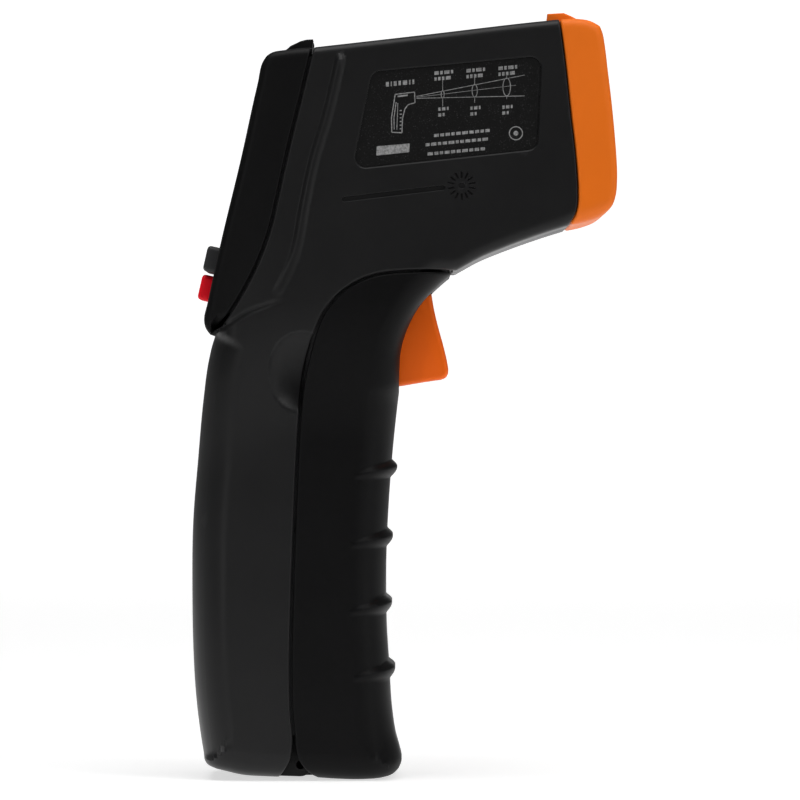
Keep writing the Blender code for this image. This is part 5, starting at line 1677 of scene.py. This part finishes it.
def drawn_cone():
    """The label's cone of sight: three lines and three rings, with bars over and under each ring."""
    lines = (
        ([(2.7, 141.6), (25.0, 146.0)], 0.12),
        ([(2.7, 141.2), (25.0, 141.7)], 0.12),
        ([(2.7, 141.4), (23.2, 143.9)], 0.08),
    )
    marks = [stroke(line, width) for line, width in lines]
    for x, tall in ((8.1, 1.5), (14.7, 2.6), (21.3, 3.7)):
        middle, on = 141.4 + (x - 2.7) * 0.115, x - 8.1
        marks += ring_stroke((x, middle), tall * 0.42, tall, 0.15)
        marks.append(stroke([(x, middle + tall / 2 + 0.1), (x, middle + 3.0)], 0.1))
        marks.append(stroke([(x, middle - tall / 2 - 0.1), (x, middle - 2.5)], 0.1))
        marks += bars(x - 1.7, 146.0 + on * 0.075, (0.9, 0.5, 1.1, 0.45), 0.72)
        marks += bars(x - 1.7, 144.8 + on * 0.075, (0.45, 0.5, 0.5, 1.0), 0.72)
        marks += bars(x - 0.9, 138.6 + on * 0.03, (0.45, 0.7, 0.35), 0.68)
        marks += bars(x - 0.9, 137.4 + on * 0.03, (0.6, 0.4), 0.68)
    return marks


def label_marks():
    """All of the label's print: both drawings, rows of bars, a pale tag and a round mark."""
    marks = drawn_instrument() + drawn_cone()
    marks += bars(-3.6, 143.6, (0.6, 0.25, 0.6, 0.5, 0.9, 0.3, 0.4), 0.95, 0.38)
    marks += bars(6.3, 133.2, (1.0, 0.8, 0.9, 0.7, 0.9, 1.2, 0.9, 0.8, 0.7, 0.9))
    marks += bars(4.6, 131.3, (0.8, 1.1, 0.7, 0.9, 1.2, 0.6, 0.8, 1.0, 0.9, 0.7, 1.1))
    marks += bars(5.0, 129.4, (1.1, 0.8, 0.7, 1.0, 0.9, 0.8, 1.2, 0.8, 0.9, 0.9))
    marks.append(rounded([(-5.6, 129.4), (1.2, 130.1), (1.3, 131.9), (-5.5, 131.3)], 0.15, 3))
    marks += ring_stroke((23.2, 134.0), 2.7, 2.7, 0.2)
    marks.append(circle((23.2, 134.0), 0.5, 16))
    return marks


class THERMO_OT_labels(bpy.types.Operator):
    """The printed side labels, each lying in its recess"""

    bl_idname = "thermo.labels"
    bl_label = "Labels"

    def execute(self, context):
        depth = context.scene.thermo_labels.recess
        face = surface_y(*np.mean(LABEL, axis=0)) - depth
        outline = grown(rounded(LABEL, LABEL_CORNER, 8), -0.12)
        for side_name, sign in (("right", -1), ("left", 1)):
            ends = sorted((sign * (face - 0.02), sign * (face + FILM_THICK)))
            film = prism(f"label_{side_name}", outline, *ends)
            finished(film, material("label_film"), "body", (f"side_label_{side_name}",))
            ends = sorted((sign * (face + FILM_THICK - 0.01), sign * (face + FILM_THICK + INK_PROUD)))
            parts = [prism(f"ink_{k}", mark, *ends) for k, mark in enumerate(label_marks())]
            ink = joined_objects(f"label_print_{side_name}", parts)
            finished(ink, material("label_ink"), "body")
        return {"FINISHED"}


class THERMO_OT_insides(bpy.types.Operator):
    """Looks for the boards, the wiring and the battery inside the handle"""

    bl_idname = "thermo.insides"
    bl_label = "Insides"

    def execute(self, context):
        dress("board_green", "main_board")
        dress("zinc_steel", "board_screw_1", "board_screw_2")
        dress("chip_epoxy", "trigger_switch")
        dress("lead_red", "battery_lead_red", "laser_lead_red")
        dress("lead_black", "battery_lead_black", "laser_lead_black")
        dress("battery_jacket", "battery")
        dress("black_rubber", "battery_snap")
        dress("inner_plastic", "battery_tray")
        return {"FINISHED"}


class THERMO_OT_stage(bpy.types.Operator):
    """A pale round floor that curves up on every side, soft lights, and the camera"""

    bl_idname = "thermo.stage"
    bl_label = "Stage"

    def execute(self, context):
        stage = context.scene.thermo_stage
        self.sweep()
        for name, spot, size, share, height in LIGHTS:
            self.softbox(name, spot, size, stage.key * share, (0.0, 0.0, height))
        world = bpy.data.worlds.new("studio")
        world.use_nodes = True
        ground = world.node_tree.nodes["Background"]
        ground.inputs["Color"].default_value = (1.0, 1.0, 1.0, 1.0)
        ground.inputs["Strength"].default_value = WORLD_STRENGTH
        context.scene.world = world
        context.scene.view_settings.view_transform = "Standard"
        camera = bpy.data.cameras.new("camera")
        camera.sensor_width = 36.0
        camera.lens = camera.sensor_width * (stage.distance - SIDE_PLANE) / (stage.field * MM)
        camera.clip_start = 0.01
        obj = linked("camera", camera)
        obj.location = (AIM[0], -stage.distance, AIM[1])
        obj.rotation_euler = (math.pi / 2, 0.0, 0.0)
        context.scene.camera = obj
        return {"FINISHED"}

    def sweep(self):
        """A round floor that curves up on every side."""
        flat_reach, curve, height = 1800.0, 600.0, 2400.0
        turns = np.radians(np.arange(0, 91, 7.5))
        rise = [(flat_reach + curve * math.sin(t), curve * (1 - math.cos(t))) for t in turns]
        profile = [(0.0, 0.0), *rise, (flat_reach + curve, height)]
        floor = placed(turned("studio_floor", profile, 96), Matrix.Translation((0, 0, -0.00004)))
        floor.data.materials.append(material("studio_paper"))
        smooth(floor)

    def softbox(self, name, spot, size, power, target):
        """A soft rectangular light, turned to its target."""
        light = bpy.data.lights.new(name, "AREA")
        light.shape = "RECTANGLE"
        light.size, light.size_y = size
        light.energy = power
        obj = linked(name, light)
        obj.location = spot
        obj.rotation_euler = (Vector(target) - Vector(spot)).to_track_quat("-Z", "Y").to_euler()


OPERATORS = (
    THERMO_OT_stage,
    THERMO_OT_housings,
    THERMO_OT_display,
    THERMO_OT_buttons,
    THERMO_OT_nose,
    THERMO_OT_door,
    THERMO_OT_trigger,
    THERMO_OT_labels,
    THERMO_OT_insides,
)

SETTINGS = {
    "thermo_shells": ShellSettings,
    "thermo_labels": LabelSettings,
    "thermo_colours": ColourSettings,
    "thermo_stage": StageSettings,
}


class THERMO_PT_panel(bpy.types.Panel):
    """The settings and the steps of the build"""

    bl_idname = "THERMO_PT_panel"
    bl_label = "Infrared thermometer"
    bl_space_type = "VIEW_3D"
    bl_region_type = "UI"
    bl_category = "Thermometer"

    def draw(self, context):
        for name, group in SETTINGS.items():
            box = self.layout.box()
            for key in group.__annotations__:
                box.prop(getattr(context.scene, name), key)
        for operator in OPERATORS:
            self.layout.operator(operator.bl_idname)


def register():
    for group in (*SETTINGS.values(), *OPERATORS, THERMO_PT_panel):
        bpy.utils.register_class(group)
    for name, group in SETTINGS.items():
        setattr(bpy.types.Scene, name, PointerProperty(type=group))


def unregister():
    for name in SETTINGS:
        delattr(bpy.types.Scene, name)
    for group in (THERMO_PT_panel, *reversed(OPERATORS), *SETTINGS.values()):
        bpy.utils.unregister_class(group)


def main():
    """Builds the instrument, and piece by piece."""
    register()
    for operator in OPERATORS:
        group, name = operator.bl_idname.split(".")
        getattr(getattr(bpy.ops, group), name)()


if __name__ == "__main__":
    main()
